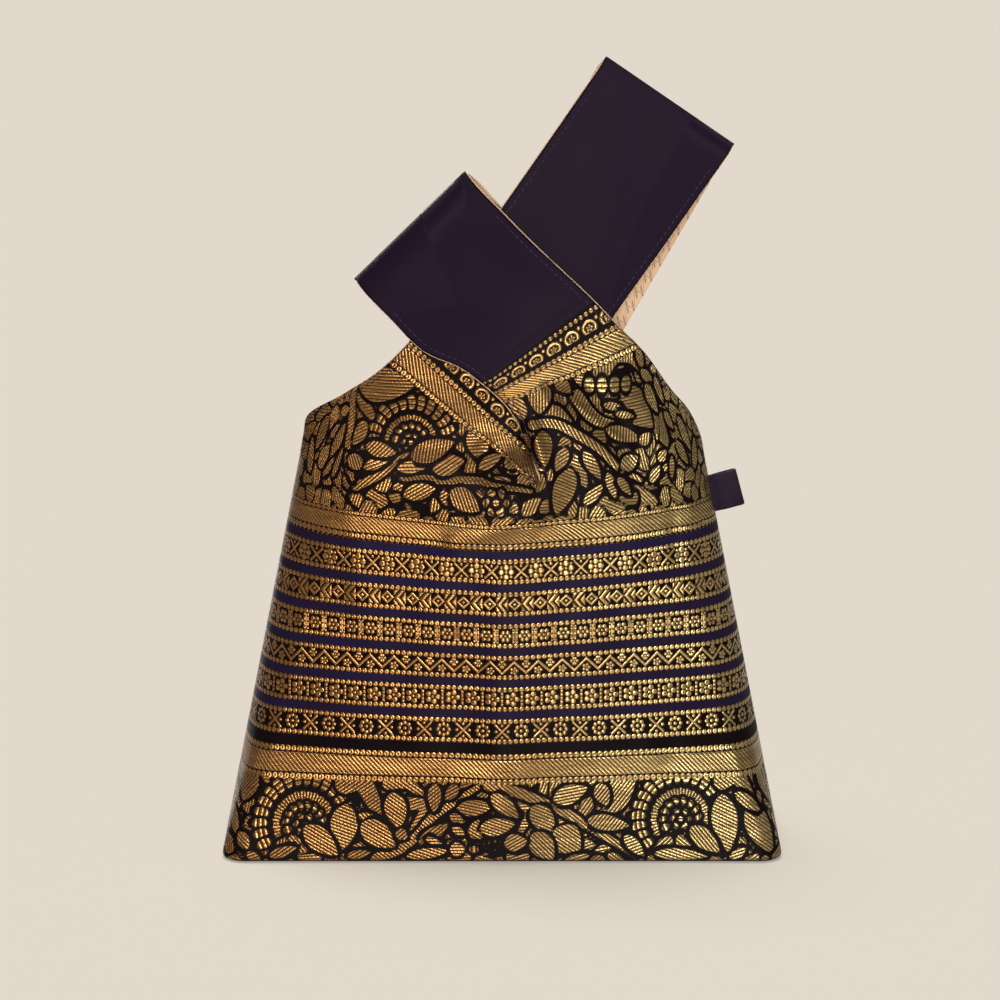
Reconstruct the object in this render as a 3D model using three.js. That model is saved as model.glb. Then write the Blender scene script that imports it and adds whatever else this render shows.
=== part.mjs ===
// A knot bag, standing on its boxed base and closed by its own handles: the long handle
// rises from the left shoulder and runs through the loop of the short one, which rises
// from the right shoulder. Front and back are each cut in one piece of brocade, body and
// both handles together, and lined with a second cloth of the same cut. The cloth carries
// its woven bands across it; every row of the mesh lies on the edge of a band, so that
// each band is a field of its own colour.
//
// Millimetres. +X is to the right, the front faces -Y and +Z is up. The origin is the
// middle of the base, on the surface that the bag stands on.

import * as THREE from 'three';

// The body
const BASE_HALF_WIDTH = 132.5;
const BASE_HALF_DEPTH = 50;
const SIDE_TAPER = 0.2; // how much each side leans in, for each unit of height
const DEPTH_TAPER = 0.07;
const BASE_CORNER = 16; // corner radius seen from above, at the base
const NECK_CORNER = 33; // the same corner, at the height of the neckline
const BASE_EDGE = 3; // radius where a wall turns under the base
const ROUNDNESS = 0.75; // how far the section turns from a rectangle into an ellipse
const ROUND_ABOVE = 70; // height at which it has done so
const FRONT_BULGE = 2;
const SAG = 7.5; // how far the middle of the highest woven band hangs below its ends
const SAG_START = 45; // height from which the bands sag
const SAG_SHAPE = 1.4; // 1 hangs in a V and 2 in a parabola
const FOLDED_ABOVE = 152; // level above which the cloth lies in close folds

// The cloth and what lies between its layers
const BROCADE = 1.2;
const LINING = 0.8;
const LAYER_GAP = 0.45;
const SEAM_GAP = 0.3;
const BOARD = 2;
const BOARD_INSET = 6;

// The woven bands, from the base edge upwards
const FLORAL_BAND = 38.6;
const ROPE_BAND = 15.5;
const PLAIN_STRIPE = 4.4;
const FIGURED_BAND = 11.7;
const FIGURED_COUNT = 6;
const NECK_ABOVE_ROPE = 15.3;

// The handles
const HANDLE_WIDTH = 72;
const NECK_FRACTION = 0.17; // where the neckline ends, as a share of the front's half girth

const LONG_HANDLE = {
  side: -1,
  tip: [77.8, 354],
  lean: 34.4, // degrees from upright, towards the right
  straight: 107, // the length that runs straight, measured from the tip
  halfLoop: 8, // half the thickness of the loop, front to back
  backSlip: 9, // how much further along its ribs the back layer lies than the front one
  // Ribs between the neckline and the straight: how far along and how far up each end of
  // the rib has come, and its depth in front of the middle plane.
  sweep: [
    { outer: [0.02, 0.10], inner: [-0.03, 0.09], depth: [0, 33] },
    { outer: [0.055, 0.20], inner: [0.03, 0.17], depth: [1, 29.5] },
    { outer: [0.25, 0.30], inner: [0.12, 0.27], depth: [5, 25.5] },
    { outer: [0.48, 0.43], inner: [0.28, 0.42], depth: [8, 19.5] },
    { outer: [0.71, 0.635], inner: [0.55, 0.66], depth: [8.5, 12] },
  ],
};

const SHORT_HANDLE = {
  side: 1,
  tip: [-43, 295.5],
  lean: -44.5,
  straight: 45,
  halfLoop: 13.5,
  backSlip: 3,
  sweep: [
    { outer: [0.02, 0.09], inner: [-0.015, 0.09], depth: [0, 37.5] },
    { outer: [0.09, 0.21], inner: [0.05, 0.20], depth: [1, 35.5] },
    { outer: [0.20, 0.32], inner: [0.17, 0.40], depth: [5, 31] },
    { outer: [0.35, 0.49], inner: [0.33, 0.59], depth: [10, 26] },
    { outer: [0.51, 0.62], inner: [0.54, 0.76], depth: [13, 21] },
    { outer: [0.68, 0.76], inner: [0.72, 0.88], depth: [14, 17] },
  ],
};

// The tab in the right side seam
const TAB = { height: 167, width: 17.5, reach: 13, turn: 15, cloth: 0.9, halfGap: 1.2, seam: 0.3 };

// Soft folds of the front and back, each a ridge along a line seen from the front:
// from and to are [x, z] measured from the lowest point of the neckline.
const FOLDS = [
  { from: [-4, -4], to: [-44, -26], spread: 7, rise: 3.2 },
  { from: [-14, 14], to: [-62, 10], spread: 10, rise: -4.5 },
  { from: [30, 45], to: [56, 18], spread: 10, rise: 4 },
  { from: [8, 38], to: [44, 4], spread: 6, rise: -3 },
  { from: [60, 34], to: [64, -24], spread: 6, rise: 2.4 },
  { from: [-18, -50], to: [-26, -150], spread: 16, rise: 2.6 },
  { from: [38, -60], to: [52, -150], spread: 18, rise: -2 },
];

// Where the folds end: they flatten out over the outer part of the width, and where the
// cloth comes close to the middle plane.
const FOLD_END = { across: 0.6, closest: 8, full: 20 };

const lerp = THREE.MathUtils.lerp;
const smooth = (a, b, t) => THREE.MathUtils.smoothstep(t, a, b);

// Columns of the mesh, as shares of the front's half girth: -1 and 1 are the side seams.
const LEFT_COLUMNS = [-1, -0.9, -0.815, -0.745, -0.675, -0.57, -0.42, -0.25];
const RIGHT_COLUMNS = [0.44, 0.57, 0.675, 0.745, 0.815, 0.9, 1];
const COLUMNS = [
  ...LEFT_COLUMNS,
  lerp(LEFT_COLUMNS.at(-1), NECK_FRACTION, 0.5),
  NECK_FRACTION,
  lerp(NECK_FRACTION, RIGHT_COLUMNS[0], 0.5),
  ...RIGHT_COLUMNS,
];
const NECK_COLUMN = COLUMNS.indexOf(NECK_FRACTION);

// Heights of the woven bands

function bandEdges() {
  const edges = [FLORAL_BAND, FLORAL_BAND + ROPE_BAND];
  for (let i = 0; i < FIGURED_COUNT; i++) {
    const start = edges[edges.length - 1];
    edges.push(start + PLAIN_STRIPE, start + PLAIN_STRIPE + FIGURED_BAND);
  }
  const lastStripe = edges[edges.length - 1] + PLAIN_STRIPE;
  return [...edges, lastStripe, lastStripe + ROPE_BAND];
}

const BAND_EDGES = bandEdges();
const NECK_LEVEL = BAND_EDGES[BAND_EDGES.length - 1] + NECK_ABOVE_ROPE;

// The outer surface of the body

const halfWidth = (z) => BASE_HALF_WIDTH - SIDE_TAPER * z;
const halfDepth = (z) => BASE_HALF_DEPTH - DEPTH_TAPER * z;
const cornerRadius = (z) => lerp(BASE_CORNER, NECK_CORNER, smooth(0, NECK_LEVEL, z));
const sagAt = (z) => SAG * smooth(SAG_START, NECK_LEVEL, z);

// A point of the front half of a rectangle with round corners, measured along its own
// outline from side seam (-1) to side seam (1).
function roundedRectangle(w, d, r, share) {
  const flat = w - r;
  const arc = (Math.PI / 2) * r;
  const along = Math.abs(share) * (flat + arc + d - r);
  const side = Math.sign(share);
  if (along < flat) return { x: side * along, y: -d };
  if (along > flat + arc) return { x: side * w, y: along - flat - arc - (d - r) };
  const angle = (along - flat) / r;
  return { x: side * (flat + r * Math.sin(angle)), y: -(d - r) - r * Math.cos(angle) };
}

// A point of the front half of the section at height z, taken in by inset: a rectangle at
// the base, and more like an ellipse further up.
function section(z, share, inset = 0) {
  const w = halfWidth(z) - inset;
  const d = halfDepth(z) - inset;
  const boxed = roundedRectangle(w, d, Math.min(cornerRadius(z) - inset, d), share);
  const round = ROUNDNESS * smooth(0, ROUND_ABOVE, z);
  const angle = share * (Math.PI / 2);
  return {
    x: lerp(boxed.x, w * Math.sin(angle), round),
    y: lerp(boxed.y, -d * Math.cos(angle), round),
  };
}

// How far the folds lift the cloth at a point seen from the front
function foldRise(x, z) {
  let rise = 0;
  for (const fold of FOLDS) {
    const ax = NECK_POINT.x + fold.from[0];
    const az = NECK_POINT.z + fold.from[1];
    const dx = fold.to[0] - fold.from[0];
    const dz = fold.to[1] - fold.from[1];
    const along = THREE.MathUtils.clamp(((x - ax) * dx + (z - az) * dz) / (dx * dx + dz * dz), 0, 1);
    const away = Math.hypot(x - ax - along * dx, z - az - along * dz);
    rise += fold.rise * Math.exp(-((away / fold.spread) ** 2));
  }
  return rise;
}

function bodyPoint(level, share) {
  const { x, y } = section(level, share);
  const across = Math.abs(x) / halfWidth(level);
  const bulge = FRONT_BULGE * Math.sin(Math.PI * Math.min(level / NECK_LEVEL, 1)) * (1 - across ** 2);
  const z = level - sagAt(level) * (1 - across ** SAG_SHAPE);
  return new THREE.Vector3(x, y - bulge, z);
}

const NECK_POINT = bodyPoint(NECK_LEVEL, NECK_FRACTION);

// The handles

function mix(from, to, share) {
  return [lerp(from.x, to.x, share[0]), lerp(from.z, to.z, share[1])];
}

// The two edges of a handle as curves through its ribs, from the neckline to the tip. The
// third number of each point is its depth.
function handleEdges(handle, isBack) {
  const slip = isBack ? handle.backSlip : 0;
  const lean = THREE.MathUtils.degToRad(handle.lean);
  const up = new THREE.Vector3(Math.sin(lean), 0, Math.cos(lean));
  const inwards = new THREE.Vector3(-handle.side * Math.cos(lean), 0, handle.side * Math.sin(lean));
  const tip = new THREE.Vector3(handle.tip[0], -handle.halfLoop, handle.tip[1]);
  const foot = tip.clone().addScaledVector(up, -handle.straight);
  const half = HANDLE_WIDTH / 2;
  const outerStart = bodyPoint(NECK_LEVEL, handle.side);
  const outerFoot = foot.clone().addScaledVector(inwards, -half);
  const innerFoot = foot.clone().addScaledVector(inwards, half);
  const outer = [outerStart];
  const inner = [NECK_POINT.clone()];
  handle.sweep.forEach((rib, i) => {
    const [ox, oz] = mix(outerStart, outerFoot, rib.outer);
    const [ix, iz] = mix(NECK_POINT, innerFoot, rib.inner);
    const moved = slip * smooth(0, handle.sweep.length, i + 1);
    outer.push(new THREE.Vector3(ox, -rib.depth[0], oz).addScaledVector(inwards, moved));
    inner.push(new THREE.Vector3(ix, -rib.depth[1], iz).addScaledVector(inwards, moved));
  });
  for (const share of [0, 0.5, 1]) {
    const along = up.clone().multiplyScalar(handle.straight * share);
    const moved = inwards.clone().multiplyScalar(slip * (1 - share));
    outer.push(outerFoot.clone().add(along).add(moved));
    inner.push(innerFoot.clone().add(along).add(moved));
  }
  return {
    outer: new THREE.CatmullRomCurve3(outer, false, 'catmullrom', 0.5),
    inner: new THREE.CatmullRomCurve3(inner, false, 'catmullrom', 0.5),
    ribs: outer.length - 1,
    up,
  };
}

const STRAIGHTENING = 1.2; // above 1, a rib loses more of its roundness close to the body

// One rib of a handle, from its outer edge to its inner one. Near the body it keeps the
// round shape of the body's last row, and further up it is straight.
function ribPoints(handle, edges, rib, shares, bodyRow) {
  const start = edges.outer.getPoint(rib / edges.ribs);
  const end = edges.inner.getPoint(rib / edges.ribs);
  const roundness = (1 - Math.min(rib / handle.sweep.length, 1)) ** STRAIGHTENING;
  const first = bodyRow[0];
  const last = bodyRow[bodyRow.length - 1];
  return shares.map((share, i) => {
    const straight = start.clone().lerp(end, share);
    const round = bodyRow[i].clone().sub(first.clone().lerp(last, share));
    return straight.addScaledVector(round, roundness);
  });
}

// The tip is a round fold: the layer turns over towards the seam on the middle plane.
function turnOver(points, handle, edges, angle) {
  const along = handle.halfLoop * (Math.sin(angle) - 1);
  const depth = Math.cos(angle);
  return points.map((p) => {
    const moved = p.clone().addScaledVector(edges.up, along);
    moved.y = p.y * depth;
    return moved;
  });
}

// Rows of the mesh along a handle, as ribs counted from the neckline, and round its tip
const SWEEP_STEPS = [0.5, 1, 1.6, 2.3, 3, 3.7, 4.4, 5.2];
const LEAST_STEP = 0.4;
const TURN_STEPS = 4;

function handleGrid(handle, isBack, bodyRow, shares) {
  const edges = handleEdges(handle, isBack);
  const rows = [bodyRow];
  const footRib = handle.sweep.length + 1;
  const sweepRibs = SWEEP_STEPS.filter((rib) => rib < footRib - LEAST_STEP);
  for (const rib of [...sweepRibs, footRib, footRib + 1]) {
    rows.push(ribPoints(handle, edges, rib, shares, bodyRow));
  }
  const tipRow = ribPoints(handle, edges, footRib + 2, shares, bodyRow);
  for (let i = 0; i <= TURN_STEPS; i++) {
    rows.push(turnOver(tipRow, handle, edges, (i / TURN_STEPS) * (Math.PI / 2)));
  }
  return rows;
}

// The whole outer surface of the front panel as three grids of points: the body from the
// base seam up to the neckline, and the two handles above it.

const FLOOR_STEPS = 2;
const CORNER_STEPS = 2;

function floorRows(inset, lift) {
  const rows = [];
  for (let i = 0; i < FLOOR_STEPS; i++) {
    rows.push(COLUMNS.map((share) => {
      const edge = section(lift, share, inset + BASE_EDGE);
      const seamX = share * (halfWidth(lift) - inset - BASE_EDGE);
      const t = i / FLOOR_STEPS;
      return new THREE.Vector3(lerp(seamX, edge.x, t), lerp(0, edge.y, t), lift);
    }));
  }
  for (let i = 0; i <= CORNER_STEPS; i++) {
    const angle = (1 - i / CORNER_STEPS) * (Math.PI / 2);
    const z = lift + BASE_EDGE * (1 - Math.sin(angle));
    rows.push(COLUMNS.map((share) => {
      const p = section(z, share, inset + BASE_EDGE * (1 - Math.cos(angle)));
      return new THREE.Vector3(p.x, p.y, z);
    }));
  }
  return rows;
}

function panelSurface(wallLevels, isBack) {
  const wall = [...wallLevels, NECK_LEVEL].map((level) => COLUMNS.map((share) => bodyPoint(level, share)));
  const neckRow = wall[wall.length - 1];
  const longRow = neckRow.slice(0, NECK_COLUMN + 1);
  const shortRow = neckRow.slice(NECK_COLUMN).reverse();
  const shareOf = (from, to) => (c) => (c - from) / (to - from);
  const longShares = COLUMNS.slice(0, NECK_COLUMN + 1).map(shareOf(-1, NECK_FRACTION));
  const shortShares = COLUMNS.slice(NECK_COLUMN).reverse().map(shareOf(1, NECK_FRACTION));
  const long = handleGrid(LONG_HANDLE, isBack, longRow, longShares);
  const short = handleGrid(SHORT_HANDLE, isBack, shortRow, shortShares);
  short.forEach((row) => row.reverse());
  return { wall: folded(wall), long: folded(long), short: folded(short) };
}

// A grid with the folds in it
function folded(rows) {
  return rows.map((row) => row.map((p) => {
    const across = Math.abs(p.x) / halfWidth(Math.max(p.z, 0));
    const inward = 1 - smooth(FOLD_END.across, 1, across);
    const rise = inward * smooth(FOLD_END.closest, FOLD_END.full, -p.y) * foldRise(p.x, p.z);
    return new THREE.Vector3(p.x, Math.min(p.y - rise, 0), p.z);
  }));
}

// The direction in which a line of points runs through p, and how much further out its
// neighbours make an offset of p reach.
function throughPoint(p, before, after) {
  const back = p.clone().sub(before).normalize();
  const on = after.clone().sub(p).normalize();
  const direction = back.clone().add(on).normalize();
  return { direction, reach: 1 / Math.max(direction.dot(back), direction.dot(on)) };
}

// Outward offsets of a grid; under and over are the rows beyond its first and last one.
function gridOffsets(rows, under, over) {
  return rows.map((row, j) => row.map((p, i) => {
    const across = throughPoint(p, row[i - 1] ?? p, row[i + 1] ?? p);
    const below = j > 0 ? rows[j - 1][i] : under ? under[i] : p;
    const above = j < rows.length - 1 ? rows[j + 1][i] : over ? over[i] : p;
    const upward = throughPoint(p, below, above);
    return across.direction.cross(upward.direction).normalize().multiplyScalar(across.reach * upward.reach);
  }));
}

// A layer of the panel: its surface taken in by inset along the normals, with its floor
// lifted, and nothing past the seam on the middle plane.
function layerSurface(surface, inset, lift) {
  const floor = floorRows(inset, lift);
  const above = [
    ...surface.long[1].slice(0, -1),
    surface.long[1].at(-1).clone().lerp(surface.short[1][0], 0.5),
    ...surface.short[1].slice(1),
  ];
  const offsets = {
    wall: gridOffsets(surface.wall, floorRows(0, 0).at(-1), above),
    long: gridOffsets(surface.long),
    short: gridOffsets(surface.short),
  };
  const seamSide = (p) => {
    p.y = Math.min(p.y, -SEAM_GAP / 2);
    return p;
  };
  const taken = {};
  for (const name of ['wall', 'long', 'short']) {
    taken[name] = surface[name].map((row, j) => row.map((p, i) =>
      seamSide(p.clone().addScaledVector(offsets[name][j][i], -inset))));
  }
  const neckRow = taken.wall.at(-1);
  taken.long[0] = neckRow.slice(0, NECK_COLUMN + 1);
  taken.short[0] = neckRow.slice(NECK_COLUMN);
  return {
    body: [...floor.map((row) => row.map(seamSide)), ...taken.wall],
    long: taken.long,
    short: taken.short,
  };
}

// The edge of a panel, once round it: base seam, right side, short handle, neckline, long
// handle, left side.
function outline({ body, long, short }) {
  const column = (grid, i) => grid.map((row) => row.at(i));
  return [
    ...body[0],
    ...column(body, -1).slice(1),
    ...column(short, -1).slice(1),
    ...short.at(-1).slice(0, -1).reverse(),
    ...column(short, 0).slice(0, -1).reverse(),
    ...column(long, -1).slice(1),
    ...long.at(-1).slice(0, -1).reverse(),
    ...column(long, 0).slice(0, -1).reverse(),
    ...column(body, 0).slice(1, -1).reverse(),
  ];
}

// A closed solid between two layers, with one colour for each row of faces.
function panelGeometry(outside, inside, colours) {
  const positions = [];
  const tints = [];
  const face = (points, tint) => {
    for (const p of points) {
      positions.push(p.x, p.y, p.z);
      tints.push(tint.r, tint.g, tint.b);
    }
  };
  const quad = (a, b, c, d, tint) => {
    face([a, b, c], tint);
    face([a, c, d], tint);
  };
  for (const name of ['body', 'long', 'short']) {
    const out = outside[name];
    const back = inside[name];
    for (let j = 0; j + 1 < out.length; j++) {
      for (let i = 0; i + 1 < out[j].length; i++) {
        quad(out[j][i], out[j][i + 1], out[j + 1][i + 1], out[j + 1][i], colours[name](j));
        quad(back[j][i], back[j + 1][i], back[j + 1][i + 1], back[j][i + 1], colours.inside);
      }
    }
  }
  const outer = outline(outside);
  const inner = outline(inside);
  outer.forEach((p, i) => {
    const next = (i + 1) % outer.length;
    quad(outer[next], p, inner[i], inner[next], colours.inside);
  });
  const geometry = new THREE.BufferGeometry();
  geometry.setAttribute('position', new THREE.Float32BufferAttribute(positions, 3));
  geometry.setAttribute('color', new THREE.Float32BufferAttribute(tints, 3));
  geometry.computeVertexNormals();
  return geometry;
}

// The back panel is the front one seen in a mirror.
function mirrored(geometry) {
  const copy = geometry.clone();
  for (const name of ['position', 'color']) {
    const array = copy.getAttribute(name).array;
    for (let i = 0; i < array.length; i += 9) {
      for (let k = 0; k < 3; k++) {
        const kept = array[i + k];
        array[i + k] = array[i + 3 + k];
        array[i + 3 + k] = kept;
      }
    }
  }
  const position = copy.getAttribute('position');
  for (let i = 0; i < position.count; i++) position.setY(i, -position.getY(i));
  copy.computeVertexNormals();
  return copy;
}

// Colours

const SATIN = new THREE.Color(0x241c2e);
const FLORAL_GOLD = new THREE.Color(0x8a6334);
const ROPE_GOLD = new THREE.Color(0xa87b42);
const FIGURED_GOLD = new THREE.Color(0x7a5730);
const LINING_TAN = new THREE.Color(0xb08a62);

const FLOOR_ROWS = FLOOR_STEPS + CORNER_STEPS;
const FLORAL_ROWS = 5; // rows of faces on a handle, from the neckline up
const ROPE_ROWS = 2; // and those after them

function bodyColour(wallLevels) {
  return (row) => {
    const level = wallLevels[row - FLOOR_ROWS - 1] ?? 0;
    const band = BAND_EDGES.filter((edge) => edge <= level).length;
    if (band === 0 || band === BAND_EDGES.length) return FLORAL_GOLD;
    if (band === 1 || band === BAND_EDGES.length - 1) return ROPE_GOLD;
    return band % 2 === 0 ? SATIN : FIGURED_GOLD;
  };
}

function handleColour(row) {
  if (row < FLORAL_ROWS) return FLORAL_GOLD;
  return row < FLORAL_ROWS + ROPE_ROWS ? ROPE_GOLD : SATIN;
}

function brocadeColours(wallLevels) {
  return { body: bodyColour(wallLevels), long: handleColour, short: handleColour, inside: SATIN };
}

const plain = (tint) => ({ body: () => tint, long: () => tint, short: () => tint, inside: tint });

// The four panels

const LINING_INSET = BROCADE + LAYER_GAP;
const LINING_LIFT = BROCADE + BOARD + 2 * SEAM_GAP;

// Levels of the rows of each wall. The lowest one clears the turn of the lining under the
// base; the lining has every row where the wall curves or folds, and every second one between.
const ROW_CLEARANCE = 1.2;
const FIRST_WALL_ROW = LINING_LIFT + LINING + BASE_EDGE + ROW_CLEARANCE;
const BROCADE_LEVELS = [FIRST_WALL_ROW, lerp(FIRST_WALL_ROW, FLORAL_BAND, 0.5), ...BAND_EDGES];
const LINING_LEVELS = BROCADE_LEVELS.filter((level, i) =>
  level < ROUND_ABOVE || level > FOLDED_ABOVE || i % 2 === 1);

function outerPanel(isBack) {
  const surface = panelSurface(BROCADE_LEVELS, isBack);
  const outside = layerSurface(surface, 0, 0);
  const inside = layerSurface(surface, BROCADE, BROCADE);
  return panelGeometry(outside, inside, brocadeColours(BROCADE_LEVELS));
}

function liningPanel(isBack) {
  const surface = panelSurface(LINING_LEVELS, isBack);
  const outside = layerSurface(surface, LINING_INSET, LINING_LIFT);
  const inside = layerSurface(surface, LINING_INSET + LINING, LINING_LIFT + LINING);
  return panelGeometry(outside, inside, plain(LINING_TAN));
}

// The stiff board in the base, between the brocade and the lining
const BOARD_STEPS = 12;

function boardGeometry() {
  const front = [];
  for (let i = -BOARD_STEPS; i <= BOARD_STEPS; i++) front.push(section(0, i / BOARD_STEPS, BOARD_INSET));
  const shape = new THREE.Shape([
    ...front.map((p) => new THREE.Vector2(p.x, Math.min(p.y, 0))),
    ...front.slice(1, -1).reverse().map((p) => new THREE.Vector2(p.x, -p.y)),
  ]);
  const geometry = new THREE.ExtrudeGeometry(shape, { depth: BOARD, bevelEnabled: false });
  return geometry.translate(0, 0, BROCADE + SEAM_GAP);
}

// The tab is a strip folded in half, both ends in the side seam: a U seen from above, drawn
// with its open end at x = 0 and extruded along its width.
function tabGeometry() {
  const outerR = TAB.halfGap + TAB.cloth;
  const bend = TAB.reach - outerR;
  const shape = new THREE.Shape();
  shape.moveTo(0, -outerR);
  shape.lineTo(bend, -outerR);
  shape.absarc(bend, 0, outerR, -Math.PI / 2, Math.PI / 2, false);
  shape.lineTo(0, outerR);
  shape.lineTo(0, TAB.halfGap);
  shape.lineTo(bend, TAB.halfGap);
  shape.absarc(bend, 0, TAB.halfGap, Math.PI / 2, -Math.PI / 2, true);
  shape.lineTo(0, -TAB.halfGap);
  const geometry = new THREE.ExtrudeGeometry(shape, {
    depth: TAB.width,
    bevelEnabled: false,
    curveSegments: 8,
  });
  return geometry.translate(0, 0, -TAB.width / 2);
}

// The assembly

const BROCADE_LOOK = { vertexColors: true, roughness: 0.45, metalness: 0.6 };
const LINING_LOOK = { vertexColors: true, roughness: 0.7, metalness: 0.1 };
const BOARD_LOOK = { color: 0x8c7f6c, roughness: 0.9 };
const SATIN_LOOK = { color: SATIN, roughness: 0.5 };

function named(name, geometry, look) {
  const mesh = new THREE.Mesh(geometry, new THREE.MeshStandardMaterial(look));
  mesh.name = name;
  return mesh;
}

const bag = new THREE.Group();
bag.add(named('outer_front', outerPanel(false), BROCADE_LOOK));
bag.add(named('outer_back', mirrored(outerPanel(true)), BROCADE_LOOK));
bag.add(named('lining_front', liningPanel(false), LINING_LOOK));
bag.add(named('lining_back', mirrored(liningPanel(true)), LINING_LOOK));
bag.add(named('base_board', boardGeometry(), BOARD_LOOK));

// The tab hangs on the side, a corner of its open end nearest to the leaning seam.
const tab = named('side_tab', tabGeometry(), SATIN_LOOK);
const tabTurn = THREE.MathUtils.degToRad(TAB.turn);
const cornerBack = (TAB.width / 2) * Math.abs(Math.sin(tabTurn - Math.atan(SIDE_TAPER)));
tab.rotation.y = -tabTurn;
tab.position.set(halfWidth(TAB.height) + cornerBack + TAB.seam, 0, TAB.height);
bag.add(tab);

export default bag;
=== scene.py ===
from functools import reduce
import math

import bpy
import numpy as np
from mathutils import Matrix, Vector


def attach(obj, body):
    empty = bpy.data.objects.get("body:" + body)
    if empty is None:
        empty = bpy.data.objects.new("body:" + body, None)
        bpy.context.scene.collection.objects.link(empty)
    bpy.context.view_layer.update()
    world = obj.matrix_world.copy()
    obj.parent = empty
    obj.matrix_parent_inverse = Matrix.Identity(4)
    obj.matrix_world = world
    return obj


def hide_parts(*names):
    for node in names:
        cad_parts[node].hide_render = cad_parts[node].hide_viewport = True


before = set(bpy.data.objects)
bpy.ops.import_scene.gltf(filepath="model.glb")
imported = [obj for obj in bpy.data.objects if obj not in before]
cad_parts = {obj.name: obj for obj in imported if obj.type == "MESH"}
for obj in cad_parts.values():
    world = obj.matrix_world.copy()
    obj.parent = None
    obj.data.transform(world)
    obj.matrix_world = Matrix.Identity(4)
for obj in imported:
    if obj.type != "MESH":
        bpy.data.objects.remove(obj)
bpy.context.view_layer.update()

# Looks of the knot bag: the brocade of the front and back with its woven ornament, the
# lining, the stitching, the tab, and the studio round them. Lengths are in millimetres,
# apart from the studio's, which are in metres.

MM = 0.001

# The body has the measures of the CAD solids, apart from tighter corners at the base.
BASE_HALF_WIDTH = 132.5
BASE_HALF_DEPTH = 50.0
SIDE_TAPER = 0.2
DEPTH_TAPER = 0.07
BASE_CORNER = 11.0
NECK_CORNER = 33.0
BASE_EDGE = 3.0
ROUNDNESS = 0.75
ROUND_ABOVE = 70.0
FRONT_BULGE = 2.0
SAG = 7.5
SAG_START = 45.0
SAG_SHAPE = 1.4
SEAM_GAP = 0.3

# Length round one panel at the base, from seam to seam
PANEL_GIRTH = 351.0

# The woven bands, from the base edge upwards
FLORAL_BAND = 38.6
ROPE_BAND = 15.5
PLAIN_STRIPE = 4.4
FIGURED_BAND = 11.7
FIGURED_COUNT = 6
NECK_ABOVE_ROPE = 15.3
BAND_PITCH = PLAIN_STRIPE + FIGURED_BAND
FIRST_BAND = FLORAL_BAND + ROPE_BAND + PLAIN_STRIPE
UPPER_ROPE = FIRST_BAND + FIGURED_COUNT * BAND_PITCH
UPPER_FLORAL = UPPER_ROPE + ROPE_BAND
NECK_LEVEL = UPPER_FLORAL + NECK_ABOVE_ROPE

# The handles
HANDLE_WIDTH = 72.0
NECK_FRACTION = 0.17
STRAIGHTENING = 1.2

LONG_HANDLE = {
    "side": -1,
    "tip": (77.8, 354.0),
    "lean": 34.4,
    "straight": 107.0,
    "half_loop": 8.0,
    "back_slip": 9.0,
    # Ribs: how far along and up the outer and the inner end has come, and their depths
    "sweep": [
        ((0.02, 0.10), (-0.03, 0.09), (0, 33)),
        ((0.055, 0.20), (0.03, 0.17), (1, 29.5)),
        ((0.25, 0.30), (0.12, 0.27), (5, 25.5)),
        ((0.48, 0.43), (0.28, 0.42), (8, 19.5)),
        ((0.71, 0.635), (0.55, 0.66), (8.5, 12)),
    ],
}

SHORT_HANDLE = {
    "side": 1,
    "tip": (-43.0, 295.5),
    "lean": -44.5,
    "straight": 45.0,
    "half_loop": 13.5,
    "back_slip": 3.0,
    "sweep": [
        ((0.02, 0.09), (-0.015, 0.09), (0, 37.5)),
        ((0.09, 0.21), (0.05, 0.20), (1, 35.5)),
        ((0.20, 0.32), (0.17, 0.40), (5, 31)),
        ((0.35, 0.49), (0.33, 0.59), (10, 26)),
        ((0.51, 0.62), (0.54, 0.76), (13, 21)),
        ((0.68, 0.76), (0.72, 0.88), (14, 17)),
    ],
}


def lerp(a, b, t):
    return a + (b - a) * t


def smooth(a, b, t):
    x = np.clip((np.asarray(t, float) - a) / (b - a), 0, 1)
    return x * x * (3 - 2 * x)


def waves(a, b, height, lengths):
    """Slow waves that run slantwise both ways over the coordinates a and b."""
    first, second, third, fourth = lengths
    return height * np.sin(a / first + b / second) * np.sin(b / third - a / fourth)


# The surface of the body

def half_width(z):
    return BASE_HALF_WIDTH - SIDE_TAPER * z


def half_depth(z):
    return BASE_HALF_DEPTH - DEPTH_TAPER * z


def rounded_rectangle(w, d, r, share):
    """The front half of a rectangle with round corners, by its share of the outline."""
    flat = w - r
    arc = math.pi / 2 * r
    along = np.abs(share) * (flat + arc + d - r)
    angle = np.clip((along - flat) / r, 0, math.pi / 2)
    x = np.minimum(along, flat) + r * np.sin(angle)
    y = -(d - r) - r * np.cos(angle) + np.maximum(along - flat - arc, 0)
    return np.sign(share) * x, y


def section(z, share, inset=0.0):
    w = half_width(z) - inset
    d = half_depth(z) - inset
    corner = lerp(BASE_CORNER, NECK_CORNER, smooth(0, NECK_LEVEL, z)) - inset
    x, y = rounded_rectangle(w, d, corner, share)
    roundness = ROUNDNESS * smooth(0, ROUND_ABOVE, z)
    angle = share * math.pi / 2
    return lerp(x, w * np.sin(angle), roundness), lerp(y, -d * np.cos(angle), roundness)


def body_point(level, share):
    level, share = np.broadcast_arrays(np.asarray(level, float), np.asarray(share, float))
    x, y = section(level, share)
    across = np.abs(x) / half_width(level)
    lift = np.sin(math.pi * np.minimum(level / NECK_LEVEL, 1))
    bulge = FRONT_BULGE * lift * (1 - across ** 2)
    sag = SAG * smooth(SAG_START, NECK_LEVEL, level)
    return np.stack([x, y - bulge, level - sag * (1 - across ** SAG_SHAPE)], -1)


NECK_POINT = body_point(NECK_LEVEL, NECK_FRACTION)


# The surface of the handles

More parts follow.
